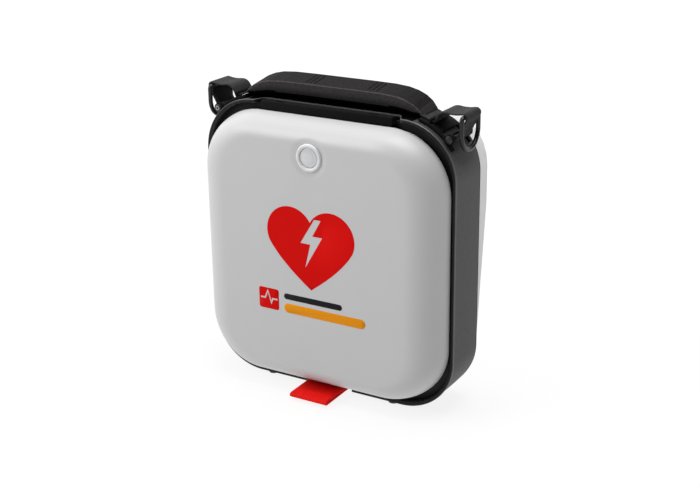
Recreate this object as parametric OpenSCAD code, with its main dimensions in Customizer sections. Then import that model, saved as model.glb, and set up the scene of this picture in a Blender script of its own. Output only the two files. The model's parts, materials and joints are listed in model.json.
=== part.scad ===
// Portable defibrillator: a hinged pillow-shaped lid over an operator deck, a soft side band,
// a rear cover with a slide-out battery, a padded carrying handle and two webbing D-ring loops.
// Millimetres. +Z up, the lid faces -Y. The origin is on the resting surface, at the middle of
// the object's width and overall depth.

/* [Case] */
// Width across the side band
band_w = 226; // [222:1:230]
// Height of the side band
band_h = 236; // [234:1:240]
// Depth of the side band, from its front lip to its rear edge
band_d = 44; // [44:1:46]
// Outer corner radius of the side band
band_r = 46; // [45:0.5:47]
// Wall thickness of the side band
band_t = 3; // [2.5:0.5:3]
// Height of the rubber feet below the band
foot_h = 1.5; // [1:0.5:2]
// How far the rear cover stands behind the band
cover_d = 22; // [21:0.5:23]
// Wall thickness of the rear cover and the lid
shell_t = 2.5; // [2:0.5:3]

/* [Lid] */
// How far the lid bulges from its rim
lid_d = 25; // [24:0.5:26]
// Gap between the band and the lid rim at the sides
lid_gap_side = 4; // [4:0.5:5]
// Gap between the band and the lid rim at the bottom
lid_gap_low = 6; // [6:0.5:7]
// Gap between the band and the lid rim at the top, where the hinge sits
lid_gap_top = 7; // [7:0.5:8]
// Corner radius of the lid rim
lid_r = 50; // [48:1:52]
// Width of the soft shoulder along the lid's sides
shoulder_side = 27; // [25:1:29]
// Width of the soft shoulder along the lid's top and bottom
shoulder_top = 17; // [16:1:18]
// Height of the status indicator above the resting surface
indicator_z = 204.5; // [202:0.5:206]

/* [Hinge] */
// Length of the hinge cover
hinge_w = 118; // [114:1:118]
// Radius of the hinge pin
pin_r = 1.5; // [1.5:0.1:1.6]
// Radius of the barrel around the hinge pin
barrel_r = 4.2; // [4.1:0.1:4.3]

/* [Handle and straps] */
// Length of the padded grip
grip_l = 160; // [156:1:162]
// Depth of the padded grip, front to back
grip_d = 27; // [25:1:29]
// Width of the webbing
web_w = 24; // [22:1:24]
// Thickness of the webbing
web_t = 1.6; // [1.2:0.1:1.6]
// Wire radius of the D-rings
ring_wire_r = 1.8; // [1.6:0.1:1.8]
// How far the pull tab reaches in front of the lip
tab_out = 34; // [30:1:36]
// Width of the pull tab
tab_w = 35; // [30:1:36]

/* [Controls] */
// Radius of the shock button
shock_r = 17; // [15:1:18]
// Radius of the child mode button
child_r = 9; // [8:0.5:10]
// Radius of the language button
language_r = 6; // [5:0.5:7]

/* [Hidden] */
$fn = 64;
hull_fn = 32;
// Overlap that makes two solids one, the gap between parts that touch, and the gap round a moving part
eps = 0.01;
touch = 0.02;
fit = 0.3;

// Main planes
total_d = tab_out + band_d + cover_d;
lip_y = tab_out - total_d / 2;
rear_y = lip_y + band_d;
back_y = rear_y + cover_d;
mid_y = lip_y + band_d / 2;
top_z = foot_h + band_h;
band_cz = foot_h + band_h / 2;
side_x = band_w / 2;
corner_x = side_x - band_r;
corner_z = top_z - band_r;

// Deck and boards
deck_y = lip_y + 6;
deck_t = 3;
deck_back = deck_y + deck_t;
board_y = lip_y + 24;
board_t = 1.6;
board_back = board_y + board_t;
post_end = board_back + 0.2;
board_size = [172, 192];
board_cz = 118;
board_screw_places = [[-78, 30], [-78, 206], [78, 30], [78, 206]];

// Lid
rim_y = lip_y + 1;
lid_low = foot_h + lid_gap_low;
lid_high = top_z - lid_gap_top;
lid_cz = (lid_low + lid_high) / 2;
lid_w = band_w - 2 * lid_gap_side;
lid_h = lid_high - lid_low;
lid_front = rim_y - lid_d;
lid_steps = 7;
panel_corner = 20;
ring_r = 11;
lens_r = 7.9;
magnet_x = 60;
magnet_z = lid_low + 7.5;
magnet_r = 3.5;

// Hinge
hinge_y = lip_y + 4.5;
hinge_z = top_z - 4;
knuckle_x = [-45.6, 38.4];
knuckle_w = 7.2;
knuckle_r = 3;
hinge_plate_x = 53;

// Rear cover
cover_y = rear_y + 0.6;
cover_flat_z = 150;
cover_low_y = back_y - 17;
screw_x = 96;
screw_z = [62, 119.5, 178];
screw_r = 1.45;
screw_head_r = 2.9;
screw_floor = board_y + 16;

// Battery
bat_w = 80;
bat_low = 144;
bat_high = 204;
bay_y = board_back + 3.4;
bay_gap = 0.4;
bay_t = 3;
pack_y = bay_y + 3;
latch_w = 24;
contact_x = [-12, -4, 4, 12];
contact_z = 174;

// Handle
grip_z = 248.5;
grip_end_z = 244;
groove_x = [-20, 35];
groove_step = 4;
core_x = 66;
// Stations along half the grip: how far out, the height of its middle, and half its thickness
grip_stations = [[0, grip_z, 5.5], [45, grip_z - 0.3, 5.4], [64, grip_z - 1.4, 5.2],
                 [grip_l / 2 - 4, grip_end_z + 0.4, 4.2], [grip_l / 2 - 0.25, grip_end_z - 1.3, 2.2]];

// Strap hardware at the right shoulder, as [x, z]
bar_c = [side_x + 0.2, top_z + 4];
pin_c = [corner_x + 37.2, corner_z + 33.5];
anchor_pin_r = 2;
ear_r = 3.9;
plate_r = band_r + 2.2;
ear_in = web_w / 2 + 0.6;
ear_t = 3.6;
ear_out = ear_in + ear_t;
ring_half = web_w / 2 + 2.2;
ring_drop = 12;
clamp_a = 65.9;
clamp_r = plate_r + web_t / 2 + 0.2;
bar_loop_r = ring_wire_r + 0.3 + web_t / 2;
pin_loop_r = anchor_pin_r + 0.1 + web_t / 2;

// Controls on the deck, as [x, z]
shock_c = [66, 100];
child_c = [66, 60];
language_c = [66, 37];
speaker_c = [-60, 190];
speaker_r = 18;
hole_step = 4.8;
led_r = 2.5;

// Electrodes: the plug's window in the deck, the tray, and the lead between them
window_low = [54, 136];
window_high = [78, 150];
tray_low = [-86, 30];
tray_high = [38, 152];
tray_d = 17;
lead_r = 1.6;
lead_bend = 5;
lead_z = [143, 121];

// Capacitor, as [y, z]
cap_c = [mid_y + 20, 118];
cap_r = 14;
clamp_x = [-60, -18];
clamp_w = 6;

// Data port in the left side of the band
port_z = 77;
port_half_w = 8;
port_half_h = 5;

// Prints on the lid
print_y = [lid_front - 0.35, lid_front - 0.01];
heart_z = 141.5;
lobe_r = 21.5;
lobe_x = 18.5;
heart_tip = 45.5;
lobe_end = -24;
bolt = [[4, 14], [-9, -7], [0, -7], [-5, -27], [11, 0], [2, 0], [10, 14]];
pulse = [[-8, -0.6], [-3.4, -0.6], [-1, 5], [2, -5.4], [3.8, -0.6], [8, -0.6],
         [8, 0.8], [2.9, 0.8], [2, -1.8], [-1, 8], [-4.2, 0.8], [-8, 0.8]];

// ---------- shared shapes ----------

// Draws a flat outline in the XZ plane and thickens it from y0 to y1
module along_y(y0, y1) {
    translate([0, y1, 0]) rotate([90, 0, 0]) linear_extrude(y1 - y0) children();
}

// Draws a flat outline in the YZ plane and thickens it from x0 to x1
module along_x(x0, x1) {
    translate([x0, 0, 0]) rotate([90, 0, 90]) linear_extrude(x1 - x0) children();
}

// Cylinder along Y through c = [x, z]
module rod_y(c, r, y0, y1) {
    translate([c[0], y1, c[1]]) rotate([90, 0, 0]) cylinder(r = r, h = y1 - y0);
}

// Cylinder along X through c = [y, z]
module rod_x(c, r, x0, x1) {
    translate([x0, c[0], c[1]]) rotate([0, 90, 0]) cylinder(r = r, h = x1 - x0);
}

// Block between two corners
module block(low, high) {
    translate(low) cube(high - low);
}

// Rectangle with round corners, centred
module round_rect(w, h, r, fn = $fn) {
    square([w - 2 * r, h], center = true);
    square([w, h - 2 * r], center = true);
    for (x = [-1, 1], z = [-1, 1])
        translate([x * (w / 2 - r), z * (h / 2 - r)]) circle(r, $fn = fn);
}

// Outline of the side band, moved inwards by inset
module band_outline(inset) {
    translate([0, band_cz])
        round_rect(band_w - 2 * inset, band_h - 2 * inset, band_r - inset);
}

// Outline of the lid rim, moved inwards by inset
module lid_outline(inset) {
    translate([0, lid_cz]) round_rect(lid_w - 2 * inset, lid_h - 2 * inset, lid_r - inset);
}

// Vector of length 1
function unit(v) = v / norm(v);

// Points along an arc about c, from angle a0 to a1
function arc(c, r, a0, a1, n) =
    [for (i = [0 : n]) let (a = a0 + (a1 - a0) * i / n) c + r * [cos(a), sin(a)]];

// Points along a curve from a to c that is pulled towards b
function curve(a, b, c, n) =
    [for (i = [0 : n]) let (t = i / n) (1 - t) * (1 - t) * a + 2 * t * (1 - t) * b + t * t * c];

// Outline of a strip of thickness t that follows a line of points
function normal_at(p, i) =
    let (d = unit(p[min(i + 1, len(p) - 1)] - p[max(i - 1, 0)])) [-d[1], d[0]];
function side_of(p, s) = [for (i = [0 : len(p) - 1]) p[i] + s * normal_at(p, i)];
function backwards(p) = [for (i = [len(p) - 1 : -1 : 0]) p[i]];
module ribbon(p, t) {
    polygon(concat(side_of(p, t / 2), backwards(side_of(p, -t / 2))));
}

// ---------- case ----------

module side_band() {
    color("#474546") difference() {
        along_y(lip_y, rear_y) difference() {
            band_outline(0);
            band_outline(band_t);
        }
        block([-hinge_w / 2 - 1.5, lip_y - 1, top_z - 14], [hinge_w / 2 + 1.5, lip_y + 9.5, top_z + 1]);
        block([-hinge_w / 2 - 15, lip_y - 1, top_z - 5], [hinge_w / 2 + 15, lip_y + 3.2, top_z + 1]);
        block([-tab_w / 2 - 1, lip_y - 1, -1], [tab_w / 2 + 1, lip_y + 6, foot_h + band_t + 2]);
        foot_places() cylinder(r = 2.05, h = 12, center = true);
        block([-side_x - 1, mid_y - port_half_w, port_z - port_half_h],
              [-side_x + band_t + 1, mid_y + port_half_w, port_z + port_half_h]);
    }
}

// Puts a piece at each case screw
module screw_places() {
    for (x = [-screw_x, screw_x], z = screw_z) translate([x, 0, z]) children();
}

// Puts a piece at each magnet of the lid and each plate that it catches
module magnet_places() {
    for (x = [-magnet_x, magnet_x]) translate([x, 0, magnet_z]) children();
}

module operator_deck() {
    color("#2b2b2d") difference() {
        union() {
            difference() {
                union() {
                    along_y(deck_y, deck_back) band_outline(band_t + 0.2);
                    block([-hinge_w / 2, deck_back - eps, top_z - 17],
                          [hinge_w / 2, deck_back + 3.5, hinge_z - fit]);
                }
                block([-hinge_w / 2 - 1, deck_y - 1, hinge_z - 5], [hinge_w / 2 + 1, deck_back, top_z]);
            }
            for (x = knuckle_x) {
                rod_x([hinge_y, hinge_z], knuckle_r, x, x + knuckle_w);
                block([x, hinge_y, hinge_z - knuckle_r], [x + knuckle_w, deck_back + 3, hinge_z]);
            }
            screw_places() rod_y([0, 0], 4.5, deck_back - eps, post_end);
            board_places() rod_y([0, 0], 3, deck_back - eps, board_y);
        }
        rod_x([hinge_y, hinge_z], pin_r + touch, -hinge_w / 2, hinge_w / 2);
        rod_y(shock_c, shock_r + fit, deck_y - 1, deck_back + 1);
        rod_y(child_c, child_r + fit, deck_y - 1, deck_back + 1);
        rod_y(language_c, language_r + fit, deck_y - 1, deck_back + 1);
        rod_y(speaker_c, speaker_r, deck_y - 1, deck_back + 1);
        rod_y([0, indicator_z], led_r + 0.1, deck_y - 1, deck_back + 1);
        block([window_low[0], deck_y - 1, window_low[1]], [window_high[0], deck_back + 1, window_high[1]]);
        screw_places() rod_y([0, 0], screw_r + 0.05, deck_back + 3, post_end + 1);
        board_places() rod_y([0, 0], 1.1, deck_back + 3, board_y + 1);
        magnet_places() rod_y([0, 0], magnet_r + 0.1, deck_y - 1, deck_y + 1);
    }
}

// Outline of the rear cover at one depth, moved inwards on all sides
module cover_slab(y, inset, low, high, r) {
    translate([0, 0, (low + high) / 2]) along_y(y - 0.1, y)
        round_rect(band_w - 2 * inset, high - low - 0.2, r, hull_fn);
}

// Solid form of the rear cover: upright above, sloping forwards below
module cover_form(t) {
    hull() {
        cover_slab(cover_y + 0.1, 1.5 + t, foot_h + 1.5 + t, top_z - 1.5 - t, 44 - t);
        cover_slab(back_y - 4 - t, 3.2 + t, cover_flat_z - 30, top_z - 3.5 - t, 42 - t);
        cover_slab(back_y - 1 - t, 5 + t, cover_flat_z - 6, top_z - 6 - t, 38 - t);
        cover_slab(back_y - t, 7.5 + t, cover_flat_z, top_z - 9 - t, 35 - t);
        cover_slab(cover_low_y - t, 7.5 + t, foot_h + 8 + t, foot_h + 60, 24 - t / 2);
    }
}

module rear_cover() {
    color("#f2f2f0") difference() {
        union() {
            difference() {
                cover_form(0);
                translate([0, -eps, 0]) cover_form(shell_t);
            }
            intersection() {
                cover_form(0.5);
                screw_places() rod_y([0, 0], 5, cover_y, back_y);
            }
            screw_places() rod_y([0, 0], 5, post_end + 0.2, cover_y + 1);
        }
        screw_places() rod_y([0, 0], screw_r + 0.25, post_end, back_y);
        screw_places() rod_y([0, 0], screw_head_r + 0.5, screw_floor, back_y + 1);
        block([-bat_w / 2 - bay_gap, cover_y + 2, bat_low - bay_gap],
              [bat_w / 2 + bay_gap, back_y + 1, bat_high + bay_gap]);
    }
}

module rear_seal() {
    color("#1c1c1c") along_y(rear_y + touch, cover_y - touch) difference() {
        band_outline(0.9);
        band_outline(band_t - 0.4);
    }
}

module lid_seal() {
    color("#3a3a3a") along_y(lip_y + 3.4, deck_y - touch) difference() {
        lid_outline(12);
        lid_outline(14.5);
    }
}

module case_screws() {
    color("#9a9a98") screw_places() {
        rod_y([0, 0], screw_r, deck_back + 4, screw_floor + eps);
        difference() {
            rod_y([0, 0], screw_head_r, screw_floor + touch, screw_floor + 2.6);
            rod_y([0, 0], 1.2, screw_floor + 1.2, screw_floor + 3);
        }
    }
}

// Puts a piece at each of the four feet
module foot_places() {
    for (x = [-58, 58], y = [lip_y + 5.5, rear_y - 6]) translate([x, y, 0]) children();
}

module feet() {
    color("#1a1a1a") foot_places() {
        cylinder(r = 4.5, h = foot_h - 0.01);
        cylinder(r = 2, h = foot_h + band_t);
    }
}

// ---------- inside ----------

// Puts a piece at each screw of the main board
module board_places() {
    for (p = board_screw_places) translate([p[0], 0, p[1]]) children();
}

module main_board() {
    color("#2f6b3c") difference() {
        along_y(board_y + touch, board_back) translate([0, board_cz])
            round_rect(board_size[0], board_size[1], 12);
        board_places() rod_y([0, 0], 1.5, board_y - 1, board_back + 1);
    }
}

module board_screws() {
    color("#b5b5b0") board_places() {
        rod_y([0, 0], 1.05, deck_back + 4, board_back + 0.1);
        rod_y([0, 0], 2.4, board_back + touch, board_back + 1.6);
    }
}

module hv_capacitor() {
    color("#2d3f63") difference() {
        rod_x(cap_c, cap_r, -74, 0);
        rod_x(cap_c, cap_r - 4, -75, -73);
    }
    color("#c9c9c4") for (s = [-5, 5]) rod_x([cap_c[0] + s, cap_c[1]], 1.5, -76, -73 - eps);
}

module capacitor_clamp() {
    color("#d9d9d4") for (x = clamp_x) difference() {
        union() {
            rod_x(cap_c, cap_r + 1.4, x, x + clamp_w);
            block([x, board_back + touch, cap_c[1] - 20], [x + clamp_w, board_back + 3, cap_c[1] + 20]);
        }
        rod_x(cap_c, cap_r + 0.1, x - 1, x + clamp_w + 1);
        block([x - 1, board_y - 3, cap_c[1] - 21], [x + clamp_w + 1, board_back + touch, cap_c[1] + 21]);
    }
}

module hv_transformer() {
    color("#3a3a3c") difference() {
        block([20, board_back + 0.05, 98], [62, board_back + 26, 134]);
        block([28, board_back - 1, 106], [38, board_back + 27, 126]);
        block([44, board_back - 1, 106], [54, board_back + 27, 126]);
    }
    color("#b06a2c") translate([41, board_back + 13, 0]) difference() {
        block([-9.8, -10, 107], [9.8, 10, 125]);
        block([-3.1, -14, 105], [3.1, 14, 127]);
    }
}

module choke_coil() {
    color("#b4742f") translate([34, board_back + 8, 62]) rotate([90, 0, 0]) rotate_extrude()
        translate([13, 0]) circle(6);
}

module relays() {
    color("#1d2a3a") for (x = [-72, -34]) block([x, board_back + 0.05, 42], [x + 30, board_back + 17, 62]);
    color("#d8d8d0") for (x = [-66, -58, -50, -28, -20, -12])
        block([x, board_back + 0.05, 40.5], [x + 1, board_back + 4, 41.95]);
}

module speaker() {
    color("#50504e") difference() {
        union() {
            rod_y(speaker_c, speaker_r + 1.5, deck_back + 0.05, deck_back + 4);
            rod_y(speaker_c, 12, deck_back + 3, deck_back + 12);
        }
        translate([speaker_c[0], deck_back - eps, speaker_c[1]]) rotate([-90, 0, 0])
            cylinder(r1 = 16.5, r2 = 6, h = 3);
    }
}

module speaker_grille() {
    color("#161616") difference() {
        rod_y(speaker_c, speaker_r + 3, deck_y - 1.2, deck_y - touch);
        rod_y(speaker_c, 1.2, deck_y - 2, deck_y + 1);
        for (ring = [1 : 3], i = [0 : 6 * ring - 1]) {
            a = 60 * i / ring;
            rod_y(speaker_c + hole_step * ring * [cos(a), sin(a)], 1.2, deck_y - 2, deck_y + 1);
        }
    }
}

module readiness_led() {
    color("#bfe8c4") {
        rod_y([0, indicator_z], led_r, deck_y - 3, board_y - 0.05);
        translate([0, deck_y - 3, indicator_z]) sphere(led_r);
    }
}

module button_switches() {
    color("#a8a8a4") for (c = [shock_c, child_c, language_c]) {
        block([c[0] - 3, board_y - 3.5, c[1] - 3], [c[0] + 3, board_y - touch, c[1] + 3]);
        rod_y(c, 1.6, board_y - 4.5, board_y - 3.5 + eps);
    }
}

module reed_switch() {
    color("#9fb7b0") rod_x([board_y - 2.2, 26], 1.2, -66, -52);
    color("#c9c9c4") for (x = [-68, -51.9]) rod_x([board_y - 2.2, 26], 0.4, x, x + 1.9);
}

module wireless_module() {
    color("#c4c6c8") block([52, board_back + 0.05, 156], [78, board_back + 3, 190]);
}

module electrode_socket() {
    color("#dcdcd6") difference() {
        block([window_low[0] + fit, deck_y - 2, window_low[1] + fit],
              [window_high[0] - fit, deck_y + 9, window_high[1] - fit]);
        block([window_low[0] + 2.5, deck_y - 3, window_low[1] + 2.5],
              [window_high[0] - 2.5, deck_y + 5, window_high[1] - 2.5]);
    }
}

module electrode_plug() {
    color("#3b3b3b") {
        block([window_low[0] + 2.8, deck_y - 5, window_low[1] + 2.8],
              [window_high[0] - 2.8, deck_y + 4.6, window_high[1] - 2.8]);
        block([53.5, deck_y - 8, 139.4], [72, deck_y - 5 + eps, 146.6]);
    }
}

// Quarter turn of the lead about c = [x, z], from angle a
module lead_turn(c, a) {
    translate([c[0], 0, c[1]]) rotate([90, 0, 0]) rotate([0, 0, a]) rotate_extrude(angle = 90)
        translate([lead_bend, 0]) circle(lead_r);
}

// The lead leaves the plug, drops between the buttons and the tray, and enters the tray's side
module electrode_lead() {
    color("#4a4a4c") translate([0, deck_y - 6.5, 0]) {
        rod_x([0, lead_z[0]], lead_r, 49, 53.45);
        lead_turn([49, lead_z[0] - lead_bend], 90);
        translate([44, 0, lead_z[1] + lead_bend])
            cylinder(r = lead_r, h = lead_z[0] - lead_z[1] - 2 * lead_bend);
        rod_x([0, lead_z[1]], lead_r, tray_high[0] + 0.05, 39);
        lead_turn([39, lead_z[1] + lead_bend], -90);
    }
}

// Outline of the tray, moved inwards by inset
module tray_outline(inset) {
    size = tray_high - tray_low - 2 * [inset, inset];
    translate((tray_low + tray_high) / 2) round_rect(size[0], size[1], 9 - inset);
}

module electrode_tray() {
    color("#e8e8e4") difference() {
        along_y(deck_y - tray_d, deck_y - 0.05) tray_outline(0);
        along_y(deck_y - tray_d - 1, deck_y - 2) tray_outline(2);
    }
}

module electrode_pads() {
    color("#f4f4f2") for (i = [0, 1])
        along_y(deck_y - 7 - 5 * i, deck_y - 4.5 - 5 * i)
            translate([-24 + 4 * i, 92]) round_rect(100, 98, 22);
}

module tray_film() {
    color("#cfd6da") along_y(deck_y - tray_d - 0.6, deck_y - tray_d - touch) tray_outline(0.6);
}

module tray_pull() {
    color("#d0140a") along_y(deck_y - tray_d - 2.6, deck_y - tray_d - 0.62) difference() {
        translate([-24, 60]) round_rect(62, 26, 12);
        translate([-24, 58]) round_rect(40, 12, 5.5);
    }
}

module shock_bezel() {
    color("#c8c8c4") along_y(deck_y - 3, deck_y - touch) translate(shock_c) difference() {
        circle(shock_r + 5);
        circle(shock_r + fit);
    }
}

module catch_plates() {
    color("#b8b8b4") magnet_places() rod_y([0, 0], magnet_r, lip_y + 3.2, deck_y + 1 - touch);
}

// ---------- battery ----------

module battery_bay() {
    color("#222224") difference() {
        block([-bat_w / 2 - bay_t, bay_y, bat_low - bay_t],
              [bat_w / 2 + bay_t, back_y - shell_t - 1.5, bat_high + bay_t]);
        block([-bat_w / 2 - bay_gap, bay_y + 2, bat_low - bay_gap],
              [bat_w / 2 + bay_gap, back_y, bat_high + bay_gap]);
        for (x = contact_x) rod_y([x, contact_z], 1.1, bay_y - 1, bay_y + 3);
    }
}

module battery_contacts() {
    color("#d2b25a") for (x = contact_x) rod_y([x, contact_z], 1, board_back + 0.05, bay_y + 2.6);
}

module battery_pack() {
    color("#e9e9e6") difference() {
        block([-bat_w / 2, pack_y, bat_low], [bat_w / 2, back_y, bat_high]);
        block([-latch_w / 2 - 0.4, back_y - 6, bat_high - 18], [latch_w / 2 + 0.4, back_y + 1, bat_high + 1]);
        along_y(back_y - 5, back_y + 1) translate([0, bat_low + 14]) round_rect(44, 12, 5.9);
        for (x = contact_x) rod_y([x, contact_z], 1.5, pack_y - 1, pack_y + 0.6);
    }
}

module battery_latch() {
    color("#3c3c3e") difference() {
        block([-latch_w / 2, back_y - 5.6, bat_high - 14], [latch_w / 2, back_y, bat_high]);
        for (z = [0 : 2.4 : 7.2])
            block([-9, back_y - 0.6, bat_high - 11 + z], [9, back_y + 1, bat_high - 10 + z]);
    }
}

module data_port() {
    color("#2a2a2c") difference() {
        block([-side_x + band_t + 0.05, mid_y - port_half_w, port_z - port_half_h],
              [-side_x + band_t + 9, mid_y + port_half_w, port_z + port_half_h]);
        block([-side_x, mid_y - 5, port_z - 2.4], [-side_x + band_t + 7, mid_y + 5, port_z + 2.4]);
    }
}

module port_plug() {
    color("#3a393a") {
        along_x(-side_x, -side_x + 1.6) translate([mid_y, port_z])
            round_rect(2 * port_half_w - 2 * fit, 2 * port_half_h - 2 * fit, 2);
        along_x(-side_x + 1.6 - eps, -side_x + 6) translate([mid_y, port_z]) round_rect(9.2, 4, 1.2);
    }
}

// ---------- strap hardware and webbing ----------

// Builds the right-hand piece as drawn, or its mirror image on the left
module shoulder(side) {
    if (side > 0) children();
    else mirror([1, 0, 0]) children();
}

// Part of a ring about the band's corner centre, from angle a0 to a1
module corner_sector(r0, r1, a0, a1, y0, y1) {
    translate([corner_x, y1, corner_z]) rotate([90, 0, 0]) rotate([0, 0, a0])
        rotate_extrude(angle = a1 - a0) translate([r0, 0]) square([r1 - r0, y1 - y0]);
}

module shoulder_anchor() {
    root_r = band_r + 0.03;
    clamp_top = plate_r + web_t + 2.25;
    color("#29292a") difference() {
        union() {
            corner_sector(root_r, plate_r, 52, 76, mid_y - ear_out + 0.5, mid_y + ear_out - 0.5);
            corner_sector(clamp_top - 1.6, clamp_top, clamp_a - 1, clamp_a + 1,
                          mid_y - ear_in - 2, mid_y + ear_in + 2);
            for (y = [mid_y - ear_out, mid_y + ear_in]) {
                corner_sector(root_r + 0.12, plate_r - 0.4, 32, 54, y + 0.25, y + ear_t - 0.25);
                rod_y(pin_c, ear_r, y, y + ear_t);
            }
            for (y = [mid_y - ear_in - 2.2, mid_y + ear_in])
                corner_sector(root_r + 0.5, clamp_top - 0.8, clamp_a - 0.85, clamp_a + 0.85, y, y + 2.2);
        }
        rod_y(pin_c, anchor_pin_r + 0.03, mid_y - 30, mid_y + 30);
    }
}

module anchor_pins() {
    color("#8f8f8c") for (s = [-1, 1]) shoulder(s) {
        rod_y(pin_c, anchor_pin_r, mid_y - ear_out - 0.5, mid_y + ear_out + 0.5);
        rod_y(pin_c, 3, mid_y - ear_out - 1.6, mid_y - ear_out - touch);
        rod_y(pin_c, 3, mid_y + ear_out + touch, mid_y + ear_out + 1.6);
    }
}

// Path of the loop: from the clamp, over the ring's bar, down and round the anchor pin
leg_dir = unit(pin_c - bar_c);
leg_angle = atan2(-leg_dir[0], leg_dir[1]) + 180;
rise = [[23.5, -0.2], [25.5, 2.4], [28, 4.9], [31, 6.5], [35, 7.1], [40, 7]];
loop_path = concat(
    arc([corner_x, corner_z], clamp_r, clamp_a - 0.4, clamp_a - 3.4, 2),
    [for (p = rise) [corner_x, top_z] + p],
    arc(bar_c, bar_loop_r, 90, leg_angle - 360, 14),
    arc(pin_c, pin_loop_r, leg_angle - 360, leg_angle - 610, 16));

// Path of the handle's webbing: from the end of the grip down to the clamp
web_end_a = clamp_a + 0.3;
web_path = concat([for (p = [[14.6, 3.6], [16.6, 1.6], [18.3, 0.4]]) [corner_x, top_z] + p],
                  [[corner_x, corner_z] + clamp_r * [cos(web_end_a), sin(web_end_a)]]);

// Webbing along a path, across the middle of the case
module webbing(path) {
    color("#343333") along_y(mid_y - web_w / 2, mid_y + web_w / 2) ribbon(path, web_t);
}

module strap() {
    webbing(loop_path);
}

module handle_web() {
    webbing(web_path);
}

module d_ring() {
    color("#2c2c2c") translate([bar_c[0], mid_y, bar_c[1]]) {
        for (y = [-ring_half, ring_half]) translate([0, y, -ring_drop])
            cylinder(r = ring_wire_r, h = ring_drop);
        for (y = [-ring_half, ring_half]) translate([0, y, 0]) sphere(ring_wire_r);
        translate([0, ring_half, 0]) rotate([90, 0, 0]) cylinder(r = ring_wire_r, h = 2 * ring_half);
        translate([0, 0, -ring_drop]) rotate([0, 90, 0]) rotate([0, 0, -90]) rotate_extrude(angle = 180)
            translate([ring_half, 0]) circle(ring_wire_r);
    }
}

// ---------- lid ----------

// Solid form of the lid: a pillow with elliptic shoulders, all faces moved inwards by inset
module lid_form(inset) {
    hull() {
        translate([0, 0, lid_cz]) along_y(rim_y, rim_y + 1 + inset / 2)
            round_rect(lid_w - 2 * inset, lid_h - 2 * inset, lid_r - inset, hull_fn);
        for (i = [0 : lid_steps]) {
            a = 90 * i / lid_steps;
            in_x = inset + shoulder_side * (1 - cos(a));
            in_z = inset + shoulder_top * (1 - cos(a));
            r = lid_r - inset - panel_corner * (1 - cos(a));
            y = rim_y - (lid_d - inset) * sin(a);
            translate([0, 0, lid_cz]) along_y(y, y + 0.02)
                round_rect(lid_w - 2 * in_x, lid_h - 2 * in_z, r, hull_fn);
        }
    }
}

module lid_shell() {
    color("#dcdcdc") difference() {
        lid_form(0);
        lid_form(shell_t);
        block([-hinge_w / 2 - 0.4, rim_y - 1.1, lid_high - 4], [hinge_w / 2 + 0.4, rim_y + 2, lid_high + 1]);
        rod_y([0, indicator_z], ring_r + 0.2, lid_front - 1, lid_front + shell_t + 1);
    }
}

module lid_liner() {
    color("#1f1f20") difference() {
        along_y(lip_y - 1, lip_y + 1.8) difference() {
            lid_outline(shell_t + 0.9);
            lid_outline(shell_t + 11.5);
        }
        block([-hinge_plate_x - 1, lip_y - 2, lid_high - 11], [hinge_plate_x + 1, lip_y + 3, lid_high]);
        magnet_places() rod_y([0, 0], magnet_r + 0.05, lip_y - 2, lip_y + 3);
    }
}

module hinge_cover() {
    color("#222122") difference() {
        union() {
            intersection() {
                rod_x([hinge_y, hinge_z], barrel_r, -hinge_w / 2, hinge_w / 2);
                block([-hinge_w, hinge_y - barrel_r + 0.3, hinge_z - 9], [hinge_w, hinge_y + 9, hinge_z + 9]);
            }
            block([-hinge_plate_x, lip_y + 0.6, lid_high - 10], [hinge_plate_x, lip_y + 2.6, lid_high + 0.5]);
        }
        rod_x([hinge_y, hinge_z], pin_r + 0.05, -hinge_w, hinge_w);
        for (x = knuckle_x)
            block([x - fit, hinge_y - knuckle_r - fit, hinge_z - 5.3],
                  [x + knuckle_w + fit, hinge_y + 9, hinge_z + 5]);
    }
}

module hinge_pin() {
    color("#c2c2be") rod_x([hinge_y, hinge_z], pin_r, -hinge_w / 2 + 0.5, hinge_w / 2 - 0.5);
}

module indicator_ring() {
    color("#c9c9c9") difference() {
        rod_y([0, indicator_z], ring_r, lid_front - 0.8, lid_front + 4);
        rod_y([0, indicator_z], lens_r + 0.1, lid_front - 2, lid_front + 5);
    }
}

module indicator_lens() {
    color("#eef2f4") rod_y([0, indicator_z], lens_r, lid_front - 0.4, lid_front + 3);
}

module light_pipe() {
    color("#e6eef0") difference() {
        rod_y([0, indicator_z], lens_r - 0.5, lid_front + 3.05, lip_y - 1);
        rod_y([0, indicator_z], lens_r - 2.5, lid_front + 5, lip_y);
    }
}

module lid_magnets() {
    color("#a6a6a8") magnet_places() rod_y([0, 0], magnet_r, lip_y - 0.9, lip_y + 1.7);
}

// Webbing folded back on itself at its front, with its back turned up inside the lid
module pull_tab() {
    color("#e51b08") along_x(-tab_w / 2, tab_w / 2) {
        translate([lip_y - tab_out + 2.25, foot_h + 3]) circle(2.25);
        translate([lip_y - tab_out + 2.25, foot_h + 0.75]) square([tab_out + 0.85, 4.5]);
        translate([lip_y + 2.05, foot_h + 2.7]) square([1.15, 12]);
    }
}

// Right half of the heart: a round lobe, and a side that curves down to the tip
lobe_last = [lobe_x + lobe_r * cos(lobe_end), lobe_r * sin(lobe_end)];
heart_side = curve(lobe_last, [28, -25.5], [0, -heart_tip], 8);
heart_half = concat(arc([lobe_x, 0], lobe_r, 180 - acos(lobe_x / lobe_r), lobe_end, 24),
                    [for (i = [1 : len(heart_side) - 1]) heart_side[i]]);
heart_mirrored = [for (i = [len(heart_half) - 2 : -1 : 1]) [-heart_half[i][0], heart_half[i][1]]];

module heart_emblem() {
    color("#c81108") along_y(print_y[0], print_y[1]) translate([0, heart_z]) difference() {
        polygon(concat(heart_half, heart_mirrored));
        polygon(bolt);
    }
}

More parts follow.
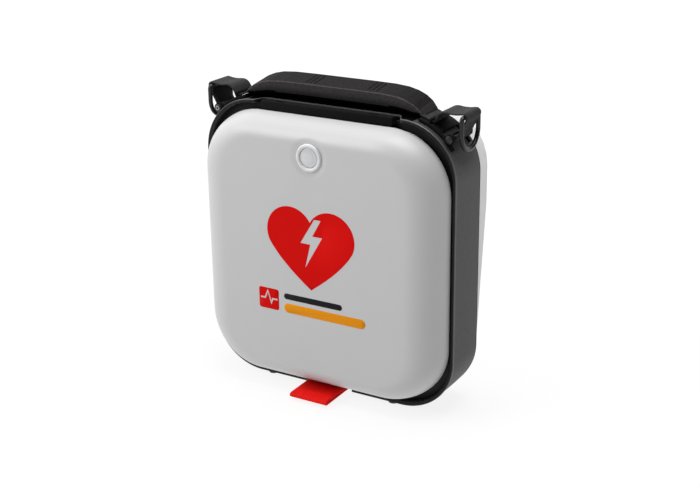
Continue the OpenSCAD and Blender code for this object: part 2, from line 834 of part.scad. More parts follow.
// A plain square tile and two plain bars under the heart
module label_bars() {
    color("#c81108") along_y(print_y[0], print_y[1]) translate([-40.5, 81.5]) difference() {
        round_rect(19, 18, 2);
        polygon(pulse);
    }
    color("#26262a") along_y(print_y[0], print_y[1]) translate([1, 86.4]) round_rect(54, 5, 2.4);
    color("#e09000") along_y(print_y[0], print_y[1]) translate([11.5, 76.4]) round_rect(75, 8, 3.9);
}

// ---------- handle ----------

// One slice of the grip at a station: a flattened round bar across the case
module grip_slice(station, side) {
    for (y = [station[2] - grip_d / 2, grip_d / 2 - station[2]])
        translate([side * station[0], mid_y + y, station[1]])
            rotate([0, 90, 0]) cylinder(r = station[2], h = 0.5, center = true, $fn = hull_fn);
}

// The webbing's channel, or the core that fills it, less a gap on each side
module core_block(gap, side_gap) {
    block([-core_x + 2 * gap, mid_y - web_w / 2 - side_gap, grip_z - web_t / 2 + gap],
          [core_x - 2 * gap, mid_y + web_w / 2 + side_gap, grip_z + web_t / 2 - gap]);
}

module handle_grip() {
    color("#3d3b3b") difference() {
        for (side = [-1, 1], first = [0, 2])
            hull() for (i = [first : first + 2]) grip_slice(grip_stations[i], side);
        for (x = groove_x, i = [-1 : 1]) translate([x + groove_step * i, mid_y, grip_z])
            block([-0.5, -9.5, 4.4], [0.5, 9.5, 7]);
        core_block(0, 0.05);
    }
}

module handle_core() {
    color("#2c2b2b") core_block(0.05, 0);
}

// ---------- buttons ----------

module push_button(c, r, front) {
    rod_y(c, r, deck_y - front, deck_back + 1);
    rod_y(c, min(5, r - 1), deck_back + 1 - eps, board_y - 7);
}

module shock_button() {
    color("#e8641a") push_button(shock_c, shock_r, 4);
}

module child_button() {
    color("#e7d23a") push_button(child_c, child_r, 1.6);
}

module language_button() {
    color("#4c8fc4") push_button(language_c, language_r, 1.6);
}

// ---------- assembly ----------

side_band();
operator_deck();
rear_cover();
rear_seal();
lid_seal();
case_screws();
feet();
hinge_pin();
main_board();
board_screws();
hv_capacitor();
capacitor_clamp();
hv_transformer();
choke_coil();
relays();
speaker();
speaker_grille();
readiness_led();
button_switches();
reed_switch();
wireless_module();
electrode_socket();
electrode_plug();
electrode_lead();
electrode_tray();
electrode_pads();
tray_film();
tray_pull();
shock_bezel();
catch_plates();
battery_bay();
battery_contacts();
data_port();
port_plug();
shoulder(-1) shoulder_anchor();  // shoulder_anchor_left
shoulder(1) shoulder_anchor();  // shoulder_anchor_right
anchor_pins();
shoulder(-1) strap();  // strap_left
shoulder(1) strap();  // strap_right
shoulder(-1) handle_web();  // handle_web_left
shoulder(1) handle_web();  // handle_web_right
lid_shell();
lid_liner();
hinge_cover();
indicator_ring();
indicator_lens();
light_pipe();
lid_magnets();
pull_tab();
heart_emblem();
label_bars();
handle_grip();
handle_core();
shoulder(-1) d_ring();  // d_ring_left
shoulder(1) d_ring();  // d_ring_right
shock_button();
child_button();
language_button();
battery_pack();
battery_latch();
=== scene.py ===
import json
import math

import bmesh
import bpy
import numpy as np
from mathutils import Matrix, Vector


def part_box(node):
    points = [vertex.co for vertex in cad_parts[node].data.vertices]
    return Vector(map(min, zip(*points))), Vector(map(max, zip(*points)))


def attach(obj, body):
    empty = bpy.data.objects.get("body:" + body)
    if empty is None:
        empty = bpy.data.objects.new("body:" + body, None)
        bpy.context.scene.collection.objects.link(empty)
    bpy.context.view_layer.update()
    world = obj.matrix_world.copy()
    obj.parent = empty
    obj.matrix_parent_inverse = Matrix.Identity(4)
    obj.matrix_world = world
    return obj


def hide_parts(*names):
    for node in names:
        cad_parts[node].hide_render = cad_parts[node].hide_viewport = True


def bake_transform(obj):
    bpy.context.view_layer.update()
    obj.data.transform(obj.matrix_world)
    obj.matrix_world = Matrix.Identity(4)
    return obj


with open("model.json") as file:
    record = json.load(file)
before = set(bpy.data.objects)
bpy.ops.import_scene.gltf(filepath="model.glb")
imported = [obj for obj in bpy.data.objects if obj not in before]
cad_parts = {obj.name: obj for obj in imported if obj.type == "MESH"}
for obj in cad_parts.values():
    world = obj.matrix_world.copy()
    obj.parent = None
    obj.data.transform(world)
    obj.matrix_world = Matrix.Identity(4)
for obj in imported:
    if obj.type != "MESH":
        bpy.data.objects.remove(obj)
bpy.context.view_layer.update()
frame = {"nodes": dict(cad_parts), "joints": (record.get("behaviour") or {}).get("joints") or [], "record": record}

# Portable defibrillator. Pieces are drawn in millimetres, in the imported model's frame, and stored in metres.
MM = 0.001
NODES = frame["nodes"]
RECORD = frame["record"]
BODY_OF = {n: b for b, names in RECORD["behaviour"]["bodies"].items() for n in names}
SLOT_OF = {s["node"]: s["material_slot"] for s in RECORD["subparts"]}
COLOUR_OF = {m["slot"]: m["base_color"][:3] for m in RECORD["materials"]}
JOINT_AT = {j["name"]: np.array(j["pos_m"]) / MM for j in frame["joints"] if "pos_m" in j}


def box_mm(node):
    """Lowest and highest corner of a CAD node, in millimetres."""
    low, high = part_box(node)
    return np.array(low) / MM, np.array(high) / MM


# ---------------------------------------------------------------- materials

def srgb(*rgb):
    """Linear colour from 0 to 255 display values."""
    return tuple((c / 255 / 12.92) if c <= 10 else ((c / 255 + 0.055) / 1.055) ** 2.4 for c in rgb)


def add(tree, kind, **inputs):
    """New shader node. Each input is a value, or another node's output to link to it."""
    node = tree.nodes.new("ShaderNode" + kind)
    for key, value in inputs.items():
        socket = node.inputs[key.replace("_", " ")]
        if isinstance(value, bpy.types.NodeSocket):
            tree.links.new(value, socket)
        else:
            socket.default_value = value
    return node


def height(tree, coords, kind, scale):
    """Height texture in object space: pebbled cells, scratches along the last letter's axis, or noise."""
    if kind == "cells":
        cell = add(tree, "TexVoronoi", Vector=coords, Scale=scale)
        cell.feature = "SMOOTH_F1"
        return cell.outputs["Distance"]
    if kind.startswith("brushed"):
        stretch = [0.04 if axis == kind[-1] else 1.0 for axis in "xyz"]
        coords = add(tree, "Mapping", Vector=coords, Scale=stretch).outputs["Vector"]
    return add(tree, "TexNoise", Vector=coords, Scale=scale, Detail=3.0, Roughness=0.6).outputs["Fac"]


WORN_FROM, WORN_FULL = 0.52, 0.62   # how convex an edge is where wear begins, and where it is complete


def material(name, colour, rough, metallic=0.0, vary=0.06, vary_scale=28.0, rough_vary=0.06, bumps=(),
             wear=0.0, **shader):
    """Principled material with mottled colour, uneven gloss, a stack of bumps, and paler worn edges."""
    made = bpy.data.materials.new(name)
    made.use_nodes = True
    tree = made.node_tree
    tree.nodes.clear()
    coords = add(tree, "TexCoord").outputs["Object"]

    blotch = add(tree, "TexNoise", Vector=coords, Scale=vary_scale, Detail=5.0, Roughness=0.55)
    ramp = add(tree, "ValToRGB", Fac=blotch.outputs["Fac"])
    for element, at, share in zip(ramp.color_ramp.elements, (0.3, 0.7), (1 - vary, 1 + vary)):
        element.position = at
        element.color = [min(1.0, c * share) for c in colour] + [1.0]
    base = ramp.outputs["Color"]
    if wear:
        edge = add(tree, "NewGeometry").outputs["Pointiness"]
        worn = add(tree, "MapRange", Value=edge, From_Min=WORN_FROM, From_Max=WORN_FULL,
                   To_Min=0.0, To_Max=wear)
        mix = add(tree, "Mix")
        mix.data_type = "RGBA"
        mix.inputs["B"].default_value = [min(1.0, 0.06 + 1.6 * c) for c in colour] + [1.0]
        tree.links.new(worn.outputs["Result"], mix.inputs["Factor"])
        tree.links.new(base, mix.inputs["A"])
        base = mix.outputs["Result"]

    smear = add(tree, "TexNoise", Vector=coords, Scale=vary_scale * 2.7, Detail=4.0)
    gloss = add(tree, "MapRange", Value=smear.outputs["Fac"], From_Min=0.3, From_Max=0.7,
                To_Min=max(0.02, rough - rough_vary), To_Max=min(1.0, rough + rough_vary))
    relief = {}
    for kind, scale, strength, depth in bumps:
        bump = add(tree, "Bump", Strength=strength, Distance=depth * MM,
                   Height=height(tree, coords, kind, scale), **relief)
        relief = {"Normal": bump.outputs["Normal"]}
    bsdf = add(tree, "BsdfPrincipled", Base_Color=base, Metallic=metallic, Roughness=gloss.outputs["Result"],
               **relief, **shader)
    add(tree, "OutputMaterial", Surface=bsdf.outputs["BSDF"])
    return made


# bumps are (texture, scale, strength, depth in millimetres)
PEBBLE = (("cells", 900.0, 0.35, 0.25), ("noise", 2600.0, 0.35, 0.12))
SPARK = (("noise", 2400.0, 0.30, 0.10),)
SMOOTH = (("noise", 1800.0, 0.06, 0.05),)
SATIN = (("noise", 3000.0, 0.08, 0.03),)
FIBRE = (("noise", 3800.0, 0.6, 0.10),)

FINISH = {
    "band_rubber": dict(colour=srgb(62, 60, 60), rough=0.56, vary=0.10, vary_scale=300.0, bumps=PEBBLE,
                        wear=0.35, Specular_IOR_Level=0.40),
    "black_plastic": dict(colour=srgb(22, 21, 22), rough=0.5, bumps=SPARK, wear=0.4, Specular_IOR_Level=0.18),
    "white_plastic": dict(colour=srgb(214, 214, 213), rough=0.36, vary=0.005, bumps=SMOOTH),
    "lid_plastic": dict(colour=srgb(189, 189, 190), rough=0.40, vary=0.008, rough_vary=0.02, bumps=SATIN),
    "seal_rubber": dict(colour=srgb(26, 26, 26), rough=0.62, bumps=SPARK),
    "steel": dict(rough=0.32, metallic=1.0, bumps=(("brushedy", 2500.0, 0.2, 0.04),)),
    "circuit_board": dict(rough=0.35, vary=0.2, bumps=(("cells", 500.0, 0.3, 0.08),), Coat_Weight=0.5),
    "capacitor_sleeve": dict(rough=0.25, bumps=SMOOTH, Coat_Weight=0.4),
    "natural_plastic": dict(rough=0.42, vary=0.03, bumps=SPARK),
    "copper": dict(rough=0.3, metallic=0.9, bumps=(("brushedx", 1500.0, 0.5, 0.2),)),
    "dark_plastic": dict(rough=0.45, bumps=SPARK, wear=0.4),
    "clear_plastic": dict(rough=0.05, vary=0.01, rough_vary=0.02, Transmission_Weight=0.85, IOR=1.49),
    "glass": dict(rough=0.03, vary=0.01, rough_vary=0.01, Transmission_Weight=0.95, IOR=1.5),
    "tin_can": dict(rough=0.28, metallic=1.0, bumps=(("brushedz", 1800.0, 0.2, 0.03),)),
    "lead_rubber": dict(rough=0.5, bumps=SPARK),
    "pad_foam": dict(rough=0.85, vary=0.04, bumps=(("cells", 1400.0, 0.5, 0.15),)),
    "film": dict(colour=srgb(196, 202, 207), rough=0.26, metallic=0.75, vary=0.05,
                 bumps=(("noise", 60.0, 0.35, 0.8), ("noise", 900.0, 0.15, 0.1))),
    "red_plastic": dict(colour=srgb(206, 20, 12), rough=0.34, bumps=SPARK),
    "grey_plastic": dict(colour=srgb(214, 214, 214), rough=0.26, vary=0.02, bumps=SMOOTH, Coat_Weight=0.3),
    "brass": dict(rough=0.25, metallic=1.0, bumps=(("brushedy", 2200.0, 0.2, 0.03),)),
    "webbing": dict(colour=srgb(44, 42, 42), rough=0.78, vary=0.18, vary_scale=160.0, bumps=FIBRE,
                    Specular_IOR_Level=0.25),
    "red_webbing": dict(colour=srgb(225, 14, 6), rough=0.72, vary=0.10, vary_scale=160.0, bumps=FIBRE,
                        Specular_IOR_Level=0.15),
    "red_ink": dict(colour=srgb(203, 6, 3), rough=0.5, vary=0.02, bumps=SATIN, Specular_IOR_Level=0.05),
    "amber_ink": dict(colour=srgb(222, 140, 0), rough=0.5, vary=0.02, bumps=SATIN, Specular_IOR_Level=0.1),
    "grip_rubber": dict(colour=srgb(44, 42, 42), rough=0.78, vary=0.22, vary_scale=420.0, bumps=PEBBLE,
                        wear=0.3, Specular_IOR_Level=0.14),
    "orange_plastic": dict(rough=0.32, bumps=SMOOTH, Coat_Weight=0.25),
    "yellow_plastic": dict(rough=0.34, bumps=SMOOTH),
    "blue_plastic": dict(rough=0.34, bumps=SMOOTH),
}
MATERIAL = {}
for slot_name, look in FINISH.items():
    look.setdefault("colour", COLOUR_OF[slot_name])
    MATERIAL[slot_name] = material(slot_name, **look)
BLACK_INK = material("black_ink", srgb(24, 24, 26), 0.5, bumps=SATIN, Specular_IOR_Level=0.1)
LIP_RUBBER = material("lip_rubber", srgb(18, 17, 18), 0.46, bumps=SPARK, wear=0.4, Specular_IOR_Level=0.2)
PAINTED_STEEL = material("painted_steel", srgb(20, 19, 19), 0.30, vary=0.1, wear=0.6,
                         bumps=(("noise", 700.0, 0.15, 0.1),), Specular_IOR_Level=0.35)
# painted shade: near black and without reflection, for the band's top behind the hinge cover and the grip's
# underside, where shade falls
PAINTED_SHADE = material("recess_rubber", srgb(10, 9, 10), 0.85, bumps=SPARK, Specular_IOR_Level=0.0)
# painted shade: the grip's upward faces are darker than its sides, to offset the lamp above them
GRIP_TOP_PAINTED_SHADE = material("grip_top", srgb(27, 25, 25), 0.8, vary=0.3, vary_scale=420.0, bumps=PEBBLE,
                    Specular_IOR_Level=0.10)
# painted highlight along the grip's front ridge
GRIP_RIDGE_HIGHLIGHT = material("grip_edge", srgb(64, 62, 61), 0.8, vary=0.25, vary_scale=420.0, bumps=PEBBLE,
                     Specular_IOR_Level=0.14)
FITTING = material("fitting_plastic", srgb(19, 18, 19), 0.72, bumps=SPARK, Specular_IOR_Level=0.07)
# painted highlight: paler, glossier rubber along the rounded edge of the band's lip
LIP_HIGHLIGHT_RUBBER = material("edge_rubber", srgb(72, 70, 70), 0.42, bumps=SPARK, wear=0.5, Specular_IOR_Level=0.5)
DULL_STEEL = material("dull_steel", srgb(150, 150, 152), 0.42, metallic=1.0, vary=0.08,
                      bumps=(("noise", 900.0, 0.2, 0.1),))
THREAD = material("thread", srgb(66, 64, 63), 0.7, vary=0.1, bumps=FIBRE)
LENS = material("lens", srgb(232, 234, 236), 0.08, vary=0.01, rough_vary=0.03, Transmission_Weight=0.35,
                IOR=1.49, Coat_Weight=0.8, Coat_Roughness=0.04)

# ---------------------------------------------------------------- mesh helpers

SHARP = 38.0             # edges that turn by more than this many degrees stay sharp
BEVEL_FROM = 35.0        # edges that turn by more than this many degrees are rounded


def piece(name, mesh, body, slot, replaces=(), extra=(), material_of=None):
    """Puts a mesh in the scene with its materials, on the body it rides on, hiding the CAD nodes it replaces; the
    slot picks the material unless one is given.
    """
    made = bpy.data.objects.new(name, mesh)
    bpy.context.scene.collection.objects.link(made)
    mesh.materials.clear()
    for m in (material_of or MATERIAL[slot], *extra):
        mesh.materials.append(m)
    if body:
        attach(made, body)
    if replaces:
        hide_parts(*replaces)
    return made


def painted(made, index_of):
    """Gives each face one of its piece's materials, from its centre in millimetres and its direction."""
    for polygon in made.data.polygons:
        polygon.material_index = index_of(polygon.center / MM, polygon.normal)


def shade(mesh, sharp=SHARP):
    """Smooth shading, apart from the real edges."""
    mesh.validate()
    mesh.polygons.foreach_set("use_smooth", [True] * len(mesh.polygons))
    mesh.set_sharp_from_angle(angle=math.radians(sharp))
    mesh.update()
    return mesh


def mesh_of(name, verts, faces, sharp=SHARP):
    """Smooth-shaded mesh from points in millimetres, with its normals turned outwards."""
    mesh = bpy.data.meshes.new(name)
    mesh.from_pydata((np.asarray(verts, float) * MM).tolist(), [], [list(f) for f in faces])
    bm = bmesh.new()
    bm.from_mesh(mesh)
    bmesh.ops.recalc_face_normals(bm, faces=bm.faces)
    bm.to_mesh(mesh)
    bm.free()
    return shade(mesh, sharp)


def joined(parts):
    """One list of points and faces from several (points, faces) pairs."""
    verts, faces, start = [], [], 0
    for points, quads in parts:
        verts.append(np.asarray(points, float))
        faces += [[i + start for i in f] for f in quads]
        start += len(points)
    return np.concatenate(verts), faces


def loft(rings, wrap=False, fans=False):
    """Skin over rings of equal size. wrap joins the last to the first, fans close both ends to a point."""
    rings = np.asarray(rings, float)
    m, n, _ = rings.shape
    index = np.arange(m * n).reshape(m, n)
    faces = []
    for i in range(m if wrap else m - 1):
        a, b = index[i], index[(i + 1) % m]
        faces += np.stack([a, np.roll(a, -1), np.roll(b, -1), b], 1).tolist()
    verts = rings.reshape(-1, 3)
    if fans:
        verts = np.concatenate([verts, rings[0].mean(0)[None], rings[-1].mean(0)[None]])
        faces += [[m * n, int(index[0, (k + 1) % n]), int(index[0, k])] for k in range(n)]
        faces += [[m * n + 1, int(index[-1, k]), int(index[-1, (k + 1) % n])] for k in range(n)]
    return verts, faces


def outline(w, h, r, centre_z=0.0, corner=20, across=60, up=60):
    """Rounded rectangle in XZ and its outward directions, anticlockwise from the top of its right side."""
    points, normals = [], []
    hx, hz = w / 2 - r, h / 2 - r
    centres = ((hx, hz), (-hx, hz), (-hx, -hz), (hx, -hz))
    for k, (cx, cz) in enumerate(centres):
        for a in np.radians(np.linspace(90 * k, 90 * k + 90, corner + 1)):
            points.append((cx + r * math.cos(a), cz + r * math.sin(a)))
            normals.append((math.cos(a), math.sin(a)))
        start, direction = points[-1], normals[-1]
        next_x, next_z = centres[(k + 1) % 4]
        end = (next_x + r * direction[0], next_z + r * direction[1])
        steps = across if k % 2 == 0 else up
        for t in np.linspace(0, 1, steps + 1)[1:-1]:
            points.append((start[0] + (end[0] - start[0]) * t, start[1] + (end[1] - start[1]) * t))
            normals.append(direction)
    points, normals = np.array(points), np.array(normals)
    points[:, 1] += centre_z
    return points, normals


def smooth(t):
    """Smooth step from 0 to 1."""
    t = np.clip(t, 0.0, 1.0)
    return t * t * (3 - 2 * t)


def rounded(corners, radii, per=8):
    """Closed polygon with each corner rounded to its radius."""
    corners = np.asarray(corners, float)
    out = []
    for i, p in enumerate(corners):
        a, b = corners[i - 1] - p, corners[(i + 1) % len(corners)] - p
        la, lb = np.linalg.norm(a), np.linalg.norm(b)
        a, b = a / la, b / lb
        half = math.acos(max(-1.0, min(1.0, float(a @ b)))) / 2
        r = radii[i] if hasattr(radii, "__len__") else radii
        cut = min(r / math.tan(half), 0.49 * la, 0.49 * lb)
        r = cut * math.tan(half)
        middle = (a + b) / np.linalg.norm(a + b)
        centre = p + middle * r / math.sin(half)
        start, end = p + a * cut - centre, p + b * cut - centre
        for t in np.linspace(0, 1, per + 1):
            v = start * (1 - t) + end * t
            out.append(centre + v / max(1e-9, np.linalg.norm(v)) * r)
    return np.array(out)


def resample(path, count=None, step=None):
    """Points evenly spaced along a polyline."""
    path = np.asarray(path, float)
    length = np.concatenate([[0], np.cumsum(np.linalg.norm(np.diff(path, axis=0), axis=1))])
    count = count or max(2, int(round(length[-1] / step)) + 1)
    at = np.linspace(0, length[-1], count)
    return np.stack([np.interp(at, length, path[:, i]) for i in range(path.shape[1])], 1)


def relaxed(path, times):
    """Polyline with its kinks eased, ends kept."""
    path = path.copy()
    for _ in range(times):
        path[1:-1] = 0.25 * path[:-2] + 0.5 * path[1:-1] + 0.25 * path[2:]
    return path


def arc(centre, radius, start, end, steps):
    """Points of a flat arc between two angles in degrees."""
    a = np.radians(np.linspace(start, end, steps + 1))
    return np.stack([centre[0] + radius * np.cos(a), centre[1] + radius * np.sin(a)], 1)


def lathe(profile, centre, axis, segments=48):
    """Turned shape. profile is (radius, distance along axis) from one end of the axis to the other."""
    axis = np.asarray(axis, float) / np.linalg.norm(axis)
    side = np.cross(axis, [0.0, 0.0, 1.0])
    side = side / np.linalg.norm(side) if np.linalg.norm(side) > 1e-6 else np.array([1.0, 0.0, 0.0])
    other = np.cross(axis, side)
    turn = np.linspace(0, 2 * math.pi, segments, endpoint=False)
    ring = np.outer(np.cos(turn), side) + np.outer(np.sin(turn), other)
    rings = [np.asarray(centre) + axis * d + ring * max(r, 0.01) for r, d in profile]
    return loft(rings, fans=True)


def sweep(path, radius, normal, segments=16):
    """Round wire along a flat closed path, whose plane has the given normal."""
    path = np.asarray(path, float)
    tangent = np.roll(path, -1, 0) - np.roll(path, 1, 0)
    tangent /= np.linalg.norm(tangent, axis=1)[:, None]
    normal = np.asarray(normal, float)
    side = np.cross(tangent, normal)
    side /= np.linalg.norm(side, axis=1)[:, None]
    turn = np.linspace(0, 2 * math.pi, segments, endpoint=False)
    rings = [p + radius * (np.outer(np.cos(turn), s) + np.outer(np.sin(turn), normal))
             for p, s in zip(path, side)]
    return loft(rings, wrap=True)


def helper(name, mesh):
    """Object that is in the scene only while a mesh is worked on."""
    made = bpy.data.objects.new(name, mesh)
    bpy.context.scene.collection.objects.link(made)
    return made


def removed(made):
    """Takes a helper and its mesh out of the file."""
    mesh = made.data
    bpy.data.objects.remove(made)
    bpy.data.meshes.remove(mesh)


def applied(host):
    """The mesh that a helper's modifiers make. The helper goes."""
    bpy.context.view_layer.update()
    graph = bpy.context.evaluated_depsgraph_get()
    mesh = bpy.data.meshes.new_from_object(host.evaluated_get(graph), preserve_all_data_layers=True,
                                           depsgraph=graph)
    removed(host)
    return mesh


def cut(mesh, cutters):
    """A mesh less its (points, faces) cutters, which are in millimetres."""
    host = helper("host", mesh)
    tools = [helper("tool", mesh_of("tool", *cutter)) for cutter in cutters]
    for tool in tools:
        mod = host.modifiers.new("cut", "BOOLEAN")
        mod.operation, mod.object, mod.solver = "DIFFERENCE", tool, "EXACT"
    result = applied(host)
    for tool in tools:
        removed(tool)
    return result


def welded(mesh, flat_angle=None):
    """Joins a mesh's doubled points, and its flat faces where an angle in degrees is given."""
    bm = bmesh.new()
    bm.from_mesh(mesh)
    bmesh.ops.remove_doubles(bm, verts=bm.verts, dist=0.002 * MM)
    if flat_angle:
        bmesh.ops.dissolve_limit(bm, angle_limit=math.radians(flat_angle), verts=bm.verts, edges=bm.edges)
    bm.to_mesh(mesh)
    bm.free()
    return mesh


def edged(mesh, width):
    """Rounds a mesh's real edges with a small bevel."""
    host = helper("host", welded(mesh, 0.6))
    mod = host.modifiers.new("edge", "BEVEL")
    mod.width, mod.segments = width * MM, 2
    mod.limit_method, mod.angle_limit = "ANGLE", math.radians(BEVEL_FROM)
    mod.use_clamp_overlap, mod.miter_outer = True, "MITER_ARC"
    return shade(applied(host))


def slab(low, high, radius, axis=1, per=6):
    """Block whose outline across one axis has rounded corners."""
    low, high = np.asarray(low, float), np.asarray(high, float)
    u, v = [i for i in range(3) if i != axis]
    flat = rounded([(low[u], low[v]), (high[u], low[v]), (high[u], high[v]), (low[u], high[v])], radius, per)
    rings = []
    for depth in (low[axis], high[axis]):
        ring = np.zeros((len(flat), 3))
        ring[:, u], ring[:, v], ring[:, axis] = flat[:, 0], flat[:, 1], depth
        rings.append(ring)
    verts, faces = loft(rings)
    n = len(flat)
    return verts, faces + [list(range(n))[::-1], [n + i for i in range(n)]]


def refined(node, width, **options):
    """A CAD node's own shape with its edges rounded, in place of the node."""
    mesh = edged(NODES[node].data.copy(), width)
    piece(node + "_piece", mesh, BODY_OF[node], SLOT_OF[node], (node,), **options)


# ---------------------------------------------------------------- main sizes, from the frame

band_low, band_high = box_mm("side_band")
lid_low, lid_high = box_mm("lid_shell")
SIDE_X, TOP_Z, LIP_Y, REAR_Y = band_high[0], band_high[2], band_low[1], band_high[1]
BAND_W, BAND_H = band_high[0] - band_low[0], band_high[2] - band_low[2]
BAND_CZ = (band_low[2] + band_high[2]) / 2
BAND_R = 46.0            # the band's corners
CORNER = (SIDE_X - BAND_R, TOP_Z - BAND_R)
MID_Y = (LIP_Y + REAR_Y) / 2
RIM_Y = LIP_Y + 1.0      # the lid's edge lies just inside the band's lip
LID_R = 50.0
PANEL_Y = lid_low[1]
HINGE = JOINT_AT["lid_hinge"][1:]           # the lid's pin, in Y and Z
BAR = JOINT_AT["d_ring_right_swing"][::2]   # the right D-ring's bar, in X and Z
pin_low, pin_high = box_mm("anchor_pins")
PIN = (pin_high[0] - 3.0, (pin_low[2] + pin_high[2]) / 2)   # the right anchor pin, in X and Z
hinge_low, hinge_high = box_mm("hinge_cover")
HINGE_X = hinge_high[0]
tab_low, tab_high = box_mm("pull_tab")
INDICATOR = np.array(box_mm("indicator_ring")).mean(0)


# ---------------------------------------------------------------- side band

BAND_T = 3.0
NOTCH_BACK, NOTCH_SLOPE = 10.0, 7.0   # how far the lip stands back at the hinge, and how wide its ends are
TAB_BACK, TAB_SLOPE = 6.0, 3.0        # the same at the pull tab
NOTCH_H = 12.0                        # height of the strips at the top and bottom where it does so
LIP_FACE, LIP_HIGHLIGHT_END = 0.3, 1.7         # depths where the lip's face ends, and where the painted highlight on its rounded edge ends
SHADED = 15.0                         # painted shade on the band's top behind the hinge cover, reaching this far past the cover's ends and past the middle


def beside(x, half, slope):
    """1 along a gap of this half width and a small margin, falling smoothly to 0 over the slope."""
    return 1 - smooth((np.abs(x) - (half + 1.2)) / slope)


def band_piece():
    """Soft side band, with a rolled front lip that stands back at the hinge and at the pull tab."""
    flat, normal = outline(BAND_W, BAND_H, BAND_R, BAND_CZ, corner=36, across=130, up=90)
    # (out from the side, back from the lip), from inside the lip round the outside to inside the rear edge
    profile = [(-BAND_T, 2.5), (-BAND_T, 1.2), (0.35 - BAND_T, 0.45), (0.9 - BAND_T, 0.08), (-1.55, 0.0),
               (-0.9, 0.08), (-0.42, 0.32), (-0.12, 0.75), (0.0, 1.3), (-0.1, 1.9), (-0.34, 2.35),
               (-0.55, 2.9), (-0.62, 3.6), (-0.62, 6.0), (-0.6, 10.0), (-0.5, 16.0), (-0.42, 22.0),
               (-0.42, 28.0), (-0.5, 34.0), (-0.6, 39.5), (-0.62, 42.2), (-0.8, 43.1), (-1.2, 43.7),
               (-1.8, 44.0), (-BAND_T, 44.0), (-BAND_T, 30.0), (-BAND_T, 14.0)]
    x, z = flat[:, 0], flat[:, 1]
    top = smooth((z - (TOP_Z - NOTCH_H)) / 6)
    bottom = smooth(((TOP_Z - BAND_H) + NOTCH_H - z) / 6)
    back = NOTCH_BACK * top * beside(x, HINGE_X, NOTCH_SLOPE)
    back += TAB_BACK * bottom * beside(x, tab_high[0], TAB_SLOPE)
    rings = []
    for inset, depth in profile:
        moved = depth + back * (1 - smooth((depth - 4.0) / 16.0))
        rings.append(np.stack([x + normal[:, 0] * inset, LIP_Y + moved, z + normal[:, 1] * inset], 1))
    mesh = mesh_of("band", *loft(rings, wrap=True), sharp=60)
    low, high = box_mm("port_plug")
    gap = 0.3
    port_low = (low[0] - 3, low[1] - gap, low[2] - gap)
    port_high = (low[0] + 8, high[1] + gap, high[2] + gap)
    mesh = shade(cut(mesh, [slab(port_low, port_high, 2.2, axis=0)]), 60)
    made = piece("side_band_skin", mesh, "case", "band_rubber", ("side_band",),
                 extra=(LIP_RUBBER, LIP_HIGHLIGHT_RUBBER, PAINTED_SHADE))

    # the lip's black front, a painted highlight on its rounded edge, and painted shade behind the hinge cover
    def finish(at, _):
        upper = at.z > TOP_Z - NOTCH_H
        depth = at.y - LIP_Y - NOTCH_BACK * upper * float(beside(at.x, HINGE_X, NOTCH_SLOPE))
        if depth < LIP_FACE:
            return 1
        if depth < LIP_HIGHLIGHT_END:
            return 2
        return 3 if abs(at.x) < HINGE_X + SHADED and upper and at.y < MID_Y + SHADED else 0
    painted(made, finish)


# ---------------------------------------------------------------- lid

SHOULDER_X, SHOULDER_Z = 27.0, 17.0   # width of the rounded shoulders at the sides, and at top and bottom
SHOULDER_R = 20.0                     # how much tighter the panel's corners are than the rim's
LID_FOOT = lid_low[2] + 1.2           # the lid ends just above the band's lip
LID_T = 2.4
LID_STEPS = (26, 74, 74)              # points round a corner, across, and up
LID_W, LID_H = lid_high[0] - lid_low[0], lid_high[2] - LID_FOOT
LID_CZ = (LID_FOOT + lid_high[2]) / 2
PANEL_EDGE = PANEL_Y + 0.3
DISH_R, DISH_EDGE, DISH_DEEP = 10.6, 6.2, 0.9


def panel_y(x, z):
    """Front of the lid's panel: a faint crown, and the shallow dish round the indicator."""
    crown = np.clip(1 - np.abs(x / (LID_W / 2 - SHOULDER_X)) ** 3, 0, 1)
    crown = crown * np.clip(1 - np.abs((z - LID_CZ) / (LID_H / 2 - SHOULDER_Z)) ** 3, 0, 1)
    away = np.hypot(x - INDICATOR[0], z - INDICATOR[2])
    return -0.3 * crown + DISH_DEEP * (1 - smooth((away - DISH_R) / DISH_EDGE))


def lid_rings(inset, turns, inner):
    """Rings of the lid's form from its rim to its centre, moved in by inset."""
    rings = []
    for a in np.linspace(0, math.pi / 2, turns):
        c, s = 1 - math.cos(a), math.sin(a)
        flat, _ = outline(LID_W - 2 * (inset + SHOULDER_X * c), LID_H - 2 * (inset + SHOULDER_Z * c),
                          LID_R - inset - SHOULDER_R * c, LID_CZ, *LID_STEPS)
        y = RIM_Y + (PANEL_EDGE + inset - RIM_Y) * s
        rings.append(np.stack([flat[:, 0], np.full(len(flat), y), flat[:, 1]], 1))
    edge = rings[-1]
    centre = np.array([0, edge[0, 1], LID_CZ])
    for k in (np.arange(1, inner) / inner) ** 1.25:
        rings.append(edge * (1 - k) + centre * k)
    rings = np.array(rings)
    if inset == 0:
        near_panel = smooth((PANEL_Y + 5 - rings[:, :, 1]) / 4.5)
        rings[:, :, 1] += panel_y(rings[:, :, 0], rings[:, :, 2]) * near_panel
    return rings


